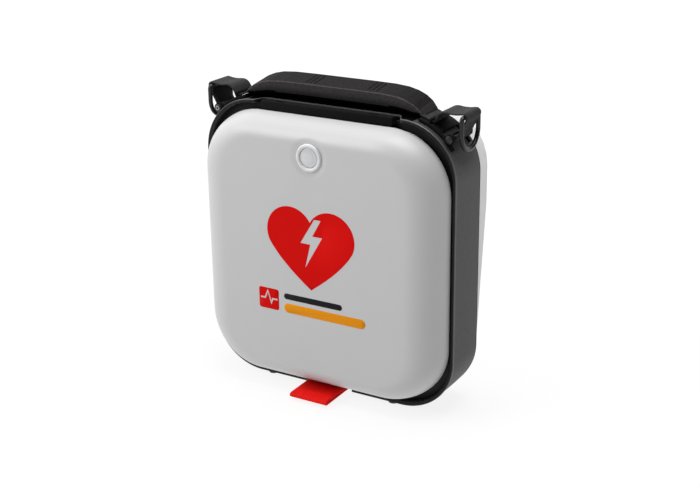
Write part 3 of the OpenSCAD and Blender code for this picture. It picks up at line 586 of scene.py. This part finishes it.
def lid_piece():
    """Pillow-shaped shell with a rounded rim."""
    outer = lid_rings(0.0, 48, 80)
    inner = lid_rings(LID_T, 20, 8)
    flat, normal = outline(LID_W, LID_H, LID_R, LID_CZ, *LID_STEPS)
    rim = []
    for inset, y in ((0.05, 0.35), (0.3, 0.75), (0.8, 0.98), (1.3, 1.0), (1.9, 0.9), (LID_T - 0.1, 0.6)):
        rim.append(np.stack([flat[:, 0] - normal[:, 0] * inset, np.full(len(flat), RIM_Y + y),
                             flat[:, 1] - normal[:, 1] * inset], 1))
    rings = np.concatenate([outer[::-1], rim, inner])
    # the rim stands forward along the hinge, so that it clears the band's lip when the lid turns
    limit = RIM_Y - 1.2 + 3.0 * smooth((np.abs(rings[:, :, 0]) - 72) / 5)
    limit = np.where(rings[:, :, 2] > lid_high[2] - 4, limit, RIM_Y + 3.0)
    rings[:, :, 1] = np.minimum(rings[:, :, 1], limit)
    mesh = mesh_of("lid", *loft(rings, fans=True), sharp=50)
    piece("lid_skin", mesh, "lid", "lid_plastic", ("lid_shell",))


# ---------------------------------------------------------------- hinge cover

KNUCKLE_X, KNUCKLE_HALF = 42.0, 3.9   # the gaps for the case's two hinge knuckles


def hinge_piece():
    """Square-fronted bar that hides the hinge, with gaps for the knuckles, and its plate in the lid."""
    y0, z0 = HINGE
    face, top = hinge_low[1], hinge_high[2]
    profile = rounded([(face, z0 - 3.6), (face, top), (y0 + 1.0, top + 0.1), (y0 + 4.0, z0 + 2.2),
                       (y0 + 4.0, z0 - 2.2), (y0 + 0.6, z0 - 4.1)], [0.5, 0.9, 2.5, 3.0, 3.0, 2.5], 6)
    rings = []
    for x, shrink in ((-HINGE_X, 0.55), (-HINGE_X + 0.12, 0.2), (-HINGE_X + 0.5, 0.0), (HINGE_X - 0.5, 0.0),
                      (HINGE_X - 0.12, 0.2), (HINGE_X, 0.55)):
        middle = profile.mean(0)
        size = np.abs(profile - middle).max(0)
        flat = middle + (profile - middle) * (1 - shrink / size)
        rings.append(np.stack([np.full(len(flat), x), flat[:, 0], flat[:, 1]], 1))
    bar = mesh_of("bar", *loft(rings, fans=True))
    # each gap reaches further forward beside its knuckle than above it
    knuckles = [slab((x - KNUCKLE_HALF, y0 - front, z0 - 5.4), (x + KNUCKLE_HALF, y0 + 9, z0 + above), 0.4)
                for x in (-KNUCKLE_X, KNUCKLE_X) for front, above in ((3.3, 3.4), (1.9, 9.0))]
    bore = lathe([(1.56, 0), (1.56, 2 * HINGE_X + 2)], (-HINGE_X - 1, y0, z0), (1, 0, 0), 32)
    mesh = shade(cut(bar, knuckles + [bore]))
    plate = mesh_of("plate", *slab((-53, face, hinge_low[2]), (53, face + 2.0, z0 - 3.0), 1.2))
    bm = bmesh.new()
    bm.from_mesh(mesh)
    bm.from_mesh(plate)
    bm.to_mesh(mesh)
    bm.free()
    piece("hinge_cover_bar", shade(mesh), "lid", "black_plastic", ("hinge_cover",), material_of=FITTING)


# ---------------------------------------------------------------- carrying handle

GROOVES = [group + 4.0 * i for group in (-20.0, 35.0) for i in (-1, 0, 1)]
GROOVE_DEEP, GROOVE_HALF = 1.3, 0.62
REAR_EDGE, FRONT_EDGE = 11.6, -12.6   # the top's rear and front edges, across the grip
TOP_FALL = 3.4                        # how much lower the front one is
RIDGE_FROM, RIDGE_TO = 3.0, 4.1       # depths below the top between which the front ridge has a painted highlight
grip_low, grip_high = box_mm("handle_grip")


def grip_piece():
    """Foam grip: sloping top with a crisp front ridge, drooping rounded ends, and two sets of grooves."""
    half_l, half_d = (grip_high[0] - grip_low[0]) / 2 + 1.2, (grip_high[1] - grip_low[1]) / 2
    # height of the top and thickness, at places out from the middle
    at = np.array([0, 25, 45, 57, 65, 72, 77, 81.2])
    top = grip_high[2] + np.array([2.2, 2.2, 2.0, 1.0, -0.9, -3.8, -7.6, -12.4])
    thick = np.array([15.6, 15.6, 15.5, 14.9, 14.0, 12.6, 8.2, 3.2])
    stations = [np.linspace(-half_l, half_l, 260)]
    stations += [np.linspace(g - 1.3, g + 1.3, 17) for g in GROOVES]
    stations = np.unique(np.round(np.concatenate(stations), 3))
    rings = []
    for x in stations:
        u = abs(x)
        z, t = np.interp(u, at, top), np.interp(u, at, thick)
        corners = [(FRONT_EDGE, -TOP_FALL), (REAR_EDGE, 0.0), (13.8, -0.4 * t), (10.0, -t), (-9.2, -t),
                   (-13.9, -0.6 * t)]
        section = rounded(corners, [0.9, 2.2, 0.3 * t, 0.36 * t, 0.40 * t, 0.36 * t], 10)
        section = resample(np.concatenate([section, section[:1]]), count=141)[:-1]
        # towards each end the grip narrows, and closes in a rounded tip
        plan = 1 - 0.05 * float(smooth((u - 66) / 14)) - 0.10 * max(0.0, (u - 76) / (half_l - 76)) ** 2
        end = max(0.0, 1 - max(0.0, (u - 77.4) / (half_l - 77.4)) ** 2.4) ** (1 / 2.4)
        y = section[:, 0] * half_d / 13.9 * plan
        flat = section[:, 1]
        middle = -0.5 * t
        zz = z + middle + (flat - middle) * max(end, 0.03)
        tilt = TOP_FALL * (section[:, 0] - REAR_EDGE) / (REAR_EDGE - FRONT_EDGE)
        upper = smooth((flat - tilt + 1.6) / 0.8) * (1 - smooth((np.abs(y) - 8.0) / 1.2))
        for g in GROOVES:
            zz = zz - GROOVE_DEEP * upper * math.exp(-((x - g) / GROOVE_HALF) ** 4)
        rings.append(np.stack([np.full(len(y), x), y + MID_Y, zz], 1))
    mesh = mesh_of("grip", *loft(rings, fans=True), sharp=70)
    grip = piece("handle_pad", mesh, "handle", "grip_rubber", ("handle_grip",),
                 extra=(GRIP_RIDGE_HIGHLIGHT, PAINTED_SHADE, GRIP_TOP_PAINTED_SHADE))

    # a painted highlight on the front ridge, painted shade on the underside, and painted shade on the upward faces
    def finish(at_face, direction):
        drop = np.interp(abs(at_face.x), at, top) - at_face.z
        if at_face.y - MID_Y < -0.85 * half_d and RIDGE_FROM < drop < RIDGE_TO:
            return 1
        if direction.z > 0.7:
            return 3
        return 2 if direction.z < -0.6 else 0
    painted(grip, finish)


# ---------------------------------------------------------------- webbing

WEAVE_STEP = 0.34        # spacing of the points along and across the webbing


def webbing(path, width, thick, place, pitch=1.35, tooth=1.7, relief=0.16):
    """Woven strap along a flat path, with ribs pitch apart. place puts a section of it in space."""
    path = resample(relaxed(resample(path, step=WEAVE_STEP), 14), step=WEAVE_STEP)
    tangent = np.gradient(path, axis=0)
    tangent /= np.linalg.norm(tangent, axis=1)[:, None]
    out = np.stack([-tangent[:, 1], tangent[:, 0]], 1)
    along = np.concatenate([[0], np.cumsum(np.linalg.norm(np.diff(path, axis=0), axis=1))])
    half, edge = width / 2, thick / 2
    flat = np.linspace(-half + edge, half - edge, int(width / WEAVE_STEP))
    bend = np.linspace(-math.pi / 2, math.pi / 2, 7)[1:-1]
    loop = [(v, edge) for v in flat]
    loop += [(half - edge + edge * math.cos(a), -edge * math.sin(a)) for a in bend]
    loop += [(v, -edge) for v in flat[::-1]]
    loop += [(-half + edge - edge * math.cos(a), edge * math.sin(a)) for a in bend]
    loop = np.array(loop)
    column = (loop[:, 0] + half) / pitch
    face = np.sign(loop[:, 1]) * (np.abs(loop[:, 1]) > edge * 0.95)
    rings = []
    for p, n, s in zip(path, out, along):
        odd = np.floor(column) % 2
        rib = np.abs(np.sin(math.pi * column)) ** 0.55
        yarn = 0.62 + 0.38 * np.sin(2 * math.pi * (s / tooth + 0.5 * odd + 0.25 * face))
        sunk = relief * (1 - rib * yarn) * np.abs(face)
        rise = loop[:, 1] - face * sunk
        rings.append(place(p, n, loop[:, 0], rise))
    return loft(rings, fans=True)


def in_xz(side):
    """Places a strap section whose path lies in XZ, mirrored to either side of the case."""
    def place(p, n, v, rise):
        return np.stack([side * (p[0] + n[0] * rise), MID_Y + v, p[1] + n[1] * rise], 1)
    return place


SIDES = ((-1, "left"), (1, "right"))
WEB_W, WEB_T = 24.0, 1.6
LOOP_R, PLATE_R = 2.9, BAND_R + 2.2
CLAMP_R = PLATE_R + WEB_T / 2 + 0.2
REACH = (PIN - BAR) / np.linalg.norm(PIN - BAR)   # from the bar to the pin


def strap_path():
    """Up from the shoulder clamp, over the D-ring's bar, and back down round the anchor pin, at the right."""
    leg = math.degrees(math.atan2(-REACH[0], REACH[1])) + 180
    rise = [(23.2, -0.2), (24.4, 2.2), (26.0, 4.6), (28.4, 6.1), (31.5, 6.5), (36, 5.9), (41, 6.0)]
    return np.concatenate([arc(CORNER, CLAMP_R, 65.4, 62.5, 3),
                           [(CORNER[0] + a, TOP_Z + b) for a, b in rise],
                           arc(BAR, LOOP_R, 90, leg - 360, 24), arc(PIN, LOOP_R, leg - 360, leg - 610, 28)])


def stitches():
    """Two rows of thread across the outer face of each strap, just below the ring."""
    out = np.array([-REACH[1], REACH[0]])
    count, pitch = 8, 2.7
    profile = [(0.02, -0.95), (0.24, -0.8), (0.3, -0.3), (0.3, 0.3), (0.24, 0.8), (0.02, 0.95)]
    parts = []
    for side in (-1, 1):
        for down in (5.0, 7.6):
            at = BAR + out * (LOOP_R + WEB_T / 2 + 0.02) + REACH * down
            for k in range(count):
                y = MID_Y + pitch * (k - (count - 1) / 2)
                parts.append(lathe(profile, (side * at[0], y, at[1]), (0, 1, 0), 10))
    mesh = mesh_of("stitches", *joined(parts))
    piece("strap_stitches", mesh, "case", "webbing", material_of=THREAD)


def web_path():
    """From inside the grip's end down to the shoulder clamp, at the right."""
    fall = ((10.5, 2.6), (13.0, 1.8), (15.4, 0.9), (18.0, -0.3))
    clamp = math.radians(66.2)
    return np.array([(CORNER[0] + a, TOP_Z + b) for a, b in fall]
                    + [(CORNER[0] + CLAMP_R * math.cos(clamp), CORNER[1] + CLAMP_R * math.sin(clamp))])


def straps():
    """The webbing loops that hold the D-rings, and the webbing of the handle."""
    for side, name in SIDES:
        mesh = mesh_of("strap", *webbing(strap_path(), WEB_W, WEB_T, in_xz(side)), sharp=75)
        piece("shoulder_webbing_" + name, mesh, "case", "webbing", ("strap_" + name,))
        mesh = mesh_of("web", *webbing(web_path(), WEB_W, WEB_T, in_xz(side)), sharp=75)
        made = piece("handle_webbing_" + name, mesh, None, "webbing", ("handle_web_" + name,))
        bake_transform(made)


# ---------------------------------------------------------------- rings, pins and anchors

RING_WIRE, RING_DROP = 1.8, 12.0      # radius of the wire, and length of the straight legs
RING_HALF = WEB_W / 2 + 2.2
RING_BEND = 2.4


def ring_piece(side, name):
    """Welded D-ring: a straight bar in the webbing loop, two legs and a round bottom."""
    bow = arc((MID_Y, BAR[1] - RING_DROP), RING_HALF, 0, -180, 47)
    inner = RING_HALF - RING_BEND
    bar = [arc((MID_Y - inner, BAR[1] - RING_BEND), RING_BEND, 180, 90, 8),
           arc((MID_Y + inner, BAR[1] - RING_BEND), RING_BEND, 90, 0, 8)]
    flat = np.concatenate([bow, *bar])
    flat = resample(np.concatenate([flat, flat[:1]]), step=0.9)[:-1]
    path = np.stack([np.full(len(flat), side * BAR[0]), flat[:, 0], flat[:, 1]], 1)
    mesh = mesh_of("ring", *sweep(path, RING_WIRE, (1, 0, 0), 20), sharp=80)
    piece("ring_" + name, mesh, "d_ring_" + name, "dark_plastic", ("d_ring_" + name,),
          material_of=PAINTED_STEEL)


def pins_piece():
    """Two shouldered screws: dark washers, and heads with a round socket."""
    washer = [(2.0, -2.2), (3.0, -1.5), (3.05, -1.0), (2.85, -0.45), (2.4, -0.2), (1.9, -0.2)]
    head = [(1.5, -1.2), (1.86, -0.6), (1.82, -0.12), (1.5, 0.0), (1.0, 0.0), (0.92, -0.1), (0.9, -0.9),
            (0.3, -1.0)]
    parts, heads = [], []
    y0, y1 = pin_low[1], pin_high[1]
    for side, _ in SIDES:
        at = np.array([side * PIN[0], 0, PIN[1]])
        for y, way in ((y0, -1), (y1, 1)):
            face = at + [0, y, 0]
            parts.append(lathe(washer, face, (0, way, 0), 40))
            heads.append(lathe(head, face, (0, way, 0), 48))
        heads.append(lathe([(1.95, 0.8), (1.95, y1 - y0 - 0.8)], at + [0, y0, 0], (0, 1, 0), 32))
    dark = sum(len(f) for _, f in parts)
    mesh = mesh_of("pins", *joined(parts + heads))
    made = piece("shoulder_pins", mesh, "case", "steel", ("anchor_pins",), extra=(PAINTED_STEEL,),
                 material_of=DULL_STEEL)
    # the washers are painted, and the right-hand screw is dark all over as well
    for k, polygon in enumerate(made.data.polygons):
        polygon.material_index = int(k < dark or polygon.center.x > 0)


# ---------------------------------------------------------------- indicator, prints and tab

def indicator_pieces():
    """Status ring on the lid, open in the middle, and the domed lens in it."""
    face = (INDICATOR[0], 0, INDICATOR[2])
    low, high = box_mm("indicator_ring")
    front = low[1]
    profile = [(8.0, high[1]), (10.95, high[1])]
    profile += [(r, front + back) for r, back in ((10.98, 1.1), (10.8, 0.5), (10.2, 0.1), (9.6, 0.0),
                                                  (9.0, 0.15), (8.45, 0.55), (8.1, 0.9), (8.0, 1.6))]
    n = 96
    verts, faces = lathe(profile, face, (0, 1, 0), n)
    last = (len(profile) - 1) * n
    bore = [[k, (k + 1) % n, last + (k + 1) % n, last + k] for k in range(n)]
    mesh = mesh_of("ring", verts[:-2], [f for f in faces if len(f) == 4] + bore, sharp=60)
    piece("status_ring", mesh, "lid", "grey_plastic", ("indicator_ring",))
    low, high = box_mm("indicator_lens")
    front = low[1]
    profile = [(7.85, high[1])]
    profile += [(r, front + back) for r, back in ((7.9, 1.3), (7.6, 0.9), (6.6, 0.55), (6.0, 0.75),
                                                  (5.4, 0.55), (3.6, 0.15), (1.8, 0.02), (0.02, 0.0))]
    mesh = mesh_of("lens", *lathe(profile, face, (0, 1, 0), n), sharp=60)
    piece("status_lens", mesh, "lid", "clear_plastic", ("indicator_lens",), material_of=LENS)


PRINT_LIFT, PRINT_SUNK = 0.05, 0.2    # a print's faces, out from the panel and into it
TILE_END, BARS_SPLIT = -29.0, 82.0    # the square tile ends at this X, and the bars divide at this Z


def decal(node):
    """Thin print on the lid's panel, with the outline of its CAD node."""
    mesh = welded(NODES[node].data.copy())
    low, high = box_mm(node)
    for vertex in mesh.vertices:
        x, y, z = vertex.co / MM
        surface = PANEL_EDGE + float(panel_y(np.array(x), np.array(z)))
        outer = y < (low[1] + high[1]) / 2
        vertex.co.y = (surface - PRINT_LIFT if outer else surface + PRINT_SUNK) * MM
    return shade(mesh, 30)


def prints():
    """The heart, and the label: red tile, black bar and amber bar."""
    piece("heart_print", decal("heart_emblem"), "lid", "red_ink", ("heart_emblem",))
    made = piece("label_print", decal("label_bars"), "lid", "amber_ink", ("label_bars",),
                 extra=(MATERIAL["red_ink"], BLACK_INK))
    painted(made, lambda at, _: 1 if at.x < TILE_END else 2 if at.z > BARS_SPLIT else 0)


def tab_piece():
    """Red webbing folded double at its front, with both layers showing at the sides."""
    low, high = tab_low, tab_high
    width = high[0] - low[0]
    gap, thick = 2.35, 2.05
    mid = low[2] + 2.25
    front = low[1] + gap / 2 + thick / 2
    lower = [(high[1] - 1.2, mid - gap / 2 + 0.1), (front + 12, mid - gap / 2 - 0.02), (front, mid - gap / 2)]
    fold = arc((front, mid), gap / 2, -90, -270, 16)
    upper = [(front, mid + gap / 2), (front + 12, mid + gap / 2 + 0.05), (LIP_Y - 1.0, mid + gap / 2 + 0.1),
             (LIP_Y + 1.2, mid + gap / 2 + 0.5), (LIP_Y + 2.7, mid + gap / 2 + 2.0), (LIP_Y + 2.75, high[2])]
    path = np.concatenate([lower[:-1], fold, upper[1:]])

    def place(p, n, v, rise):
        return np.stack([v, p[0] + n[0] * rise, p[1] + n[1] * rise], 1)
    mesh = mesh_of("tab", *webbing(path, width, thick, place, pitch=1.75, tooth=2.4, relief=0.22), sharp=75)
    piece("pull_tab_webbing", mesh, "lid", "red_webbing", ("pull_tab",))


band_piece()
lid_piece()
hinge_piece()
grip_piece()
straps()
stitches()
for side, name in SIDES:
    ring_piece(side, name)
    refined("shoulder_anchor_" + name, 0.35, material_of=FITTING)
pins_piece()
indicator_pieces()
prints()
tab_piece()

# ---------------------------------------------------------------- under the lid, and behind the case

BOLT = [(4, 14), (-9, -7), (0, -7), (-5, -27), (11, 0), (2, 0), (10, 14)]
FIGURE = [(-1.5, -4.6), (-1.5, -1.4), (-3.4, -0.4), (-3.0, 0.9), (-1.2, 0.6), (-1.4, 1.6), (1.4, 1.6),
          (1.2, 0.6), (3.0, 0.9), (3.4, -0.4), (1.5, -1.4), (1.5, -4.6), (0.4, -4.6), (0.4, -2.2),
          (-0.4, -2.2), (-0.4, -4.6)]
BUBBLE = [(-3.4, -1.2), (-1.6, -1.2), (-2.4, -2.9), (-0.2, -1.2), (3.4, -1.2), (3.4, 2.6), (-3.4, 2.6)]


def plate(points, front, back):
    """Flat print in XZ between two depths."""
    points = np.asarray(points, float)
    n = len(points)
    verts = [(x, y, z) for y in (front, back) for x, z in points]
    faces = [[k, (k + 1) % n, n + (k + 1) % n, n + k] for k in range(n)]
    return np.array(verts), faces + [list(range(n))[::-1], [n + k for k in range(n)]]


def ring_plate(outer, inner, front, back):
    """Flat band in XZ between two outlines with the same number of points."""
    return loft([[(x, y, z) for x, z in line] for line, y in
                 ((outer, front), (inner, front), (inner, back), (outer, back))], wrap=True)


def rectangle(x, z, w, h, radius):
    """Rounded rectangle about a middle point."""
    corners = [(x + a * w / 2, z + b * h / 2) for a, b in ((-1, -1), (1, -1), (1, 1), (-1, 1))]
    return rounded(corners, radius, 6)


def button_prints():
    """Generic marks: a bolt on the shock button, a small figure, and a speech bubble."""
    middle, front = {}, {}
    for name in ("shock_button", "child_button", "language_button"):
        low, high = box_mm(name)
        middle[name] = np.array([(low[0] + high[0]) / 2, (low[2] + high[2]) / 2])
        front[name] = low[1]

    bolt = rounded(np.array(BOLT, float) * 0.52 + middle["shock_button"] + [-0.6, 3.4], 0.35, 3)
    face = front["shock_button"]
    piece("shock_symbol", mesh_of("bolt", *plate(bolt, face - 0.06, face + 0.5)), "shock_button", "red_ink")

    body = rounded(np.array(FIGURE, float) + middle["child_button"] + [0, -0.6], 0.3, 3)
    head = arc(middle["child_button"] + [0, 3.0], 1.55, 0, 360, 28)[:-1]
    face = front["child_button"]
    mesh = mesh_of("figure", *joined([plate(part, face - 0.05, face + 0.4) for part in (body, head)]))
    piece("child_symbol", mesh, "child_button", "red_ink", material_of=BLACK_INK)

    bubble = rounded(BUBBLE, [0.7, 0.2, 0.1, 0.2, 0.7, 0.7, 0.7], 4) + middle["language_button"]
    face = front["language_button"]
    mesh = mesh_of("bubble", *plate(bubble, face - 0.05, face + 0.4))
    piece("language_symbol", mesh, "language_button", "white_plastic")


PADS = ((-50.0, 92.0), (6.0, 92.0))   # middles of the two pads under the foil
PAD_W, PAD_H = 30.0, 66.0
FILM_STEPS = (150, 146)
FILM_CORNER = 6.0


def film_piece():
    """Peel-off foil on the tray, pressed round the two pads below it and a little crinkled."""
    low, high = box_mm("tray_film")
    nx, nz = FILM_STEPS
    gx, gz = np.meshgrid(np.linspace(low[0], high[0], nx), np.linspace(low[2], high[2], nz), indexing="ij")
    sink = np.zeros_like(gx)
    for px, pz in PADS:
        off_x = np.maximum(np.abs(gx - px) - (PAD_W / 2 + 1), 0)
        off_z = np.maximum(np.abs(gz - pz) - (PAD_H / 2 + 1), 0)
        sink += 0.30 * np.exp(-((np.hypot(off_x, off_z) - 9.0) / 1.3) ** 2)
    crinkle = np.sin(gx * 0.41 + 1.3 * np.sin(gz * 0.17)) * np.sin(gz * 0.37 + 1.1 * np.sin(gx * 0.23))
    y = low[1] + 0.05 + np.clip(sink + 0.05 * (crinkle + 1), 0, 0.42)
    # the grid's square corners are drawn in onto round ones
    middle = (low + high) / 2
    hx, hz = high[0] - middle[0] - FILM_CORNER, high[2] - middle[2] - FILM_CORNER
    ux, uz = gx - middle[0], gz - middle[2]
    dx, dz = np.maximum(np.abs(ux) - hx, 0), np.maximum(np.abs(uz) - hz, 0)
    far = np.hypot(dx, dz)
    outside = (far > FILM_CORNER) & (dx > 0) & (dz > 0)
    scale = np.where(outside, FILM_CORNER / np.maximum(far, 1e-6), 1.0)
    gx = np.sign(ux) * (np.minimum(np.abs(ux), hx) + dx * scale) + middle[0]
    gz = np.sign(uz) * (np.minimum(np.abs(uz), hz) + dz * scale) + middle[2]
    front = np.stack([gx, y, gz], 2).reshape(-1, 3)
    back = np.stack([gx, np.full_like(gx, high[1]), gz], 2).reshape(-1, 3)
    index = np.arange(nx * nz).reshape(nx, nz)
    quads = np.stack([index[:-1, :-1], index[1:, :-1], index[1:, 1:], index[:-1, 1:]], 2).reshape(-1, 4)
    edge = np.concatenate([index[:, 0], index[-1, 1:], index[-2::-1, -1], index[0, -2:0:-1]])
    step = np.roll(edge, -1)
    walls = np.stack([edge, step, step + nx * nz, edge + nx * nz], 1)
    faces = np.concatenate([quads, quads[:, ::-1] + nx * nz, walls]).tolist()
    mesh = mesh_of("film", np.concatenate([front, back]), faces, sharp=60)
    piece("peel_foil", mesh, "case", "film", ("tray_film",))

    line = 1.2
    lines = [ring_plate(rectangle(px, pz, PAD_W, PAD_H, 9),
                        rectangle(px, pz, PAD_W - 2 * line, PAD_H - 2 * line, 8),
                        low[1] - 0.02, low[1] + 0.2) for px, pz in PADS]
    piece("pad_outlines", mesh_of("outlines", *joined(lines)), "case", "red_ink", material_of=BLACK_INK)


# CAD nodes that keep their own shape, and the width of their rounded edges
BEVELS = {
    "operator_deck": 0.35, "speaker_grille": 0.12, "electrode_tray": 0.5, "tray_pull": 0.5,
    "electrode_plug": 0.5, "electrode_socket": 0.4, "shock_bezel": 0.6, "shock_button": 0.7,
    "child_button": 0.6, "language_button": 0.5, "lid_liner": 0.3, "lid_seal": 0.5, "rear_cover": 0.5,
    "battery_pack": 0.6, "battery_latch": 0.35, "case_screws": 0.12, "feet": 0.5, "port_plug": 0.4,
    "catch_plates": 0.2, "lid_magnets": 0.3, "readiness_led": 0.2, "relays": 0.4, "hv_transformer": 0.5,
    "wireless_module": 0.4, "electrode_pads": 0.5, "hv_capacitor": 0.4, "battery_bay": 0.25,
    "data_port": 0.3,
}
for name, width in BEVELS.items():
    refined(name, width)
button_prints()
film_piece()
for name, node in NODES.items():
    node.data.materials.clear()
    node.data.materials.append(MATERIAL[SLOT_OF[name]])

# ---------------------------------------------------------------- stage, light and camera

def area(name, at, target, size, power):
    """Round soft light that faces its target."""
    data = bpy.data.lights.new(name, "AREA")
    data.shape, data.size, data.energy = "DISK", size, power
    lamp = bpy.data.objects.new(name, data)
    lamp.location = at
    lamp.rotation_mode = "QUATERNION"
    lamp.rotation_quaternion = (Vector(target) - Vector(at)).to_track_quat("-Z", "Y")
    bpy.context.scene.collection.objects.link(lamp)


def room():
    """World light, bright from the left and almost none from the front right, and a plain background."""
    world = bpy.data.worlds.new("studio")
    bpy.context.scene.world = world
    world.use_nodes = True
    tree = world.node_tree
    tree.nodes.clear()
    dim_side, background = math.radians(62), 1.05
    towards = add(tree, "VectorMath", Vector=add(tree, "TexCoord").outputs["Generated"])
    towards.operation = "DOT_PRODUCT"
    towards.inputs[1].default_value = (math.sin(dim_side), -math.cos(dim_side), 0.0)
    light = add(tree, "MapRange", Value=towards.outputs["Value"], From_Min=-0.75, From_Max=0.40,
                To_Min=1.7, To_Max=0.05)
    light.interpolation_type = "SMOOTHSTEP"
    pick = add(tree, "Mix", Factor=add(tree, "LightPath").outputs["Is Camera Ray"],
               A=light.outputs["Result"], B=background)
    back = add(tree, "Background", Strength=pick.outputs["Result"])
    add(tree, "OutputWorld", Surface=back.outputs["Background"])


def ground():
    """Round floor whose white glow rises towards its edge, to meet the background."""
    bm = bmesh.new()
    bmesh.ops.create_circle(bm, cap_ends=True, segments=96, radius=9.0)
    mesh = bpy.data.meshes.new("floor")
    bm.to_mesh(mesh)
    bm.free()
    floor = bpy.data.objects.new("floor", mesh)
    bpy.context.scene.collection.objects.link(floor)
    paint = material("floor_paint", (0.12, 0.12, 0.12), 0.9, vary=0.004, Specular_IOR_Level=0.0,
                     Emission_Color=(1, 1, 1, 1))
    tree = paint.node_tree
    away = add(tree, "VectorMath", Vector=add(tree, "TexCoord").outputs["Object"])
    away.operation = "LENGTH"
    glow = add(tree, "MapRange", Value=away.outputs["Value"], From_Min=0.3, From_Max=1.5,
               To_Min=0.86, To_Max=1.0)
    bsdf = next(n for n in tree.nodes if n.type == "BSDF_PRINCIPLED")
    tree.links.new(glow.outputs["Result"], bsdf.inputs["Emission Strength"])
    mesh.materials.append(paint)


def camera():
    """Camera about a metre away, 31 degrees to the object's right and 20 above it, with a 67 mm lens."""
    turn, lift, roll = math.radians(30.73), math.radians(20.01), math.radians(-0.714)
    distance = 1.0519
    target = Vector((0.0, 0.004, 0.1215))
    aim_right, aim_up = 0.0085042, 0.0003156   # the frame's middle, in metres from the target
    back = Vector((math.sin(turn) * math.cos(lift), -math.cos(turn) * math.cos(lift), math.sin(lift)))
    level = Vector((math.cos(turn), math.sin(turn), 0.0))
    upright = back.cross(level)
    right = math.cos(roll) * level + math.sin(roll) * upright
    up = math.cos(roll) * upright - math.sin(roll) * level
    data = bpy.data.cameras.new("camera")
    data.sensor_width, data.lens = 36.0, 66.857
    data.clip_start, data.clip_end = 0.05, 50.0
    made = bpy.data.objects.new("camera", data)
    made.location = target + right * aim_right + up * aim_up + back * distance
    made.rotation_mode = "QUATERNION"
    made.rotation_quaternion = Matrix((right, up, back)).transposed().to_quaternion()
    bpy.context.scene.collection.objects.link(made)
    bpy.context.scene.camera = made


bpy.context.scene.view_settings.view_transform = "Standard"
bpy.context.scene.view_settings.look = "None"
room()
ground()
area("key", (-0.72, -0.72, 0.85), (0, 0, 0.12), 0.8, 6.6)
area("top", (0.20, -0.02, 1.5), (0.03, 0, 0.1), 1.0, 16.0)
camera()
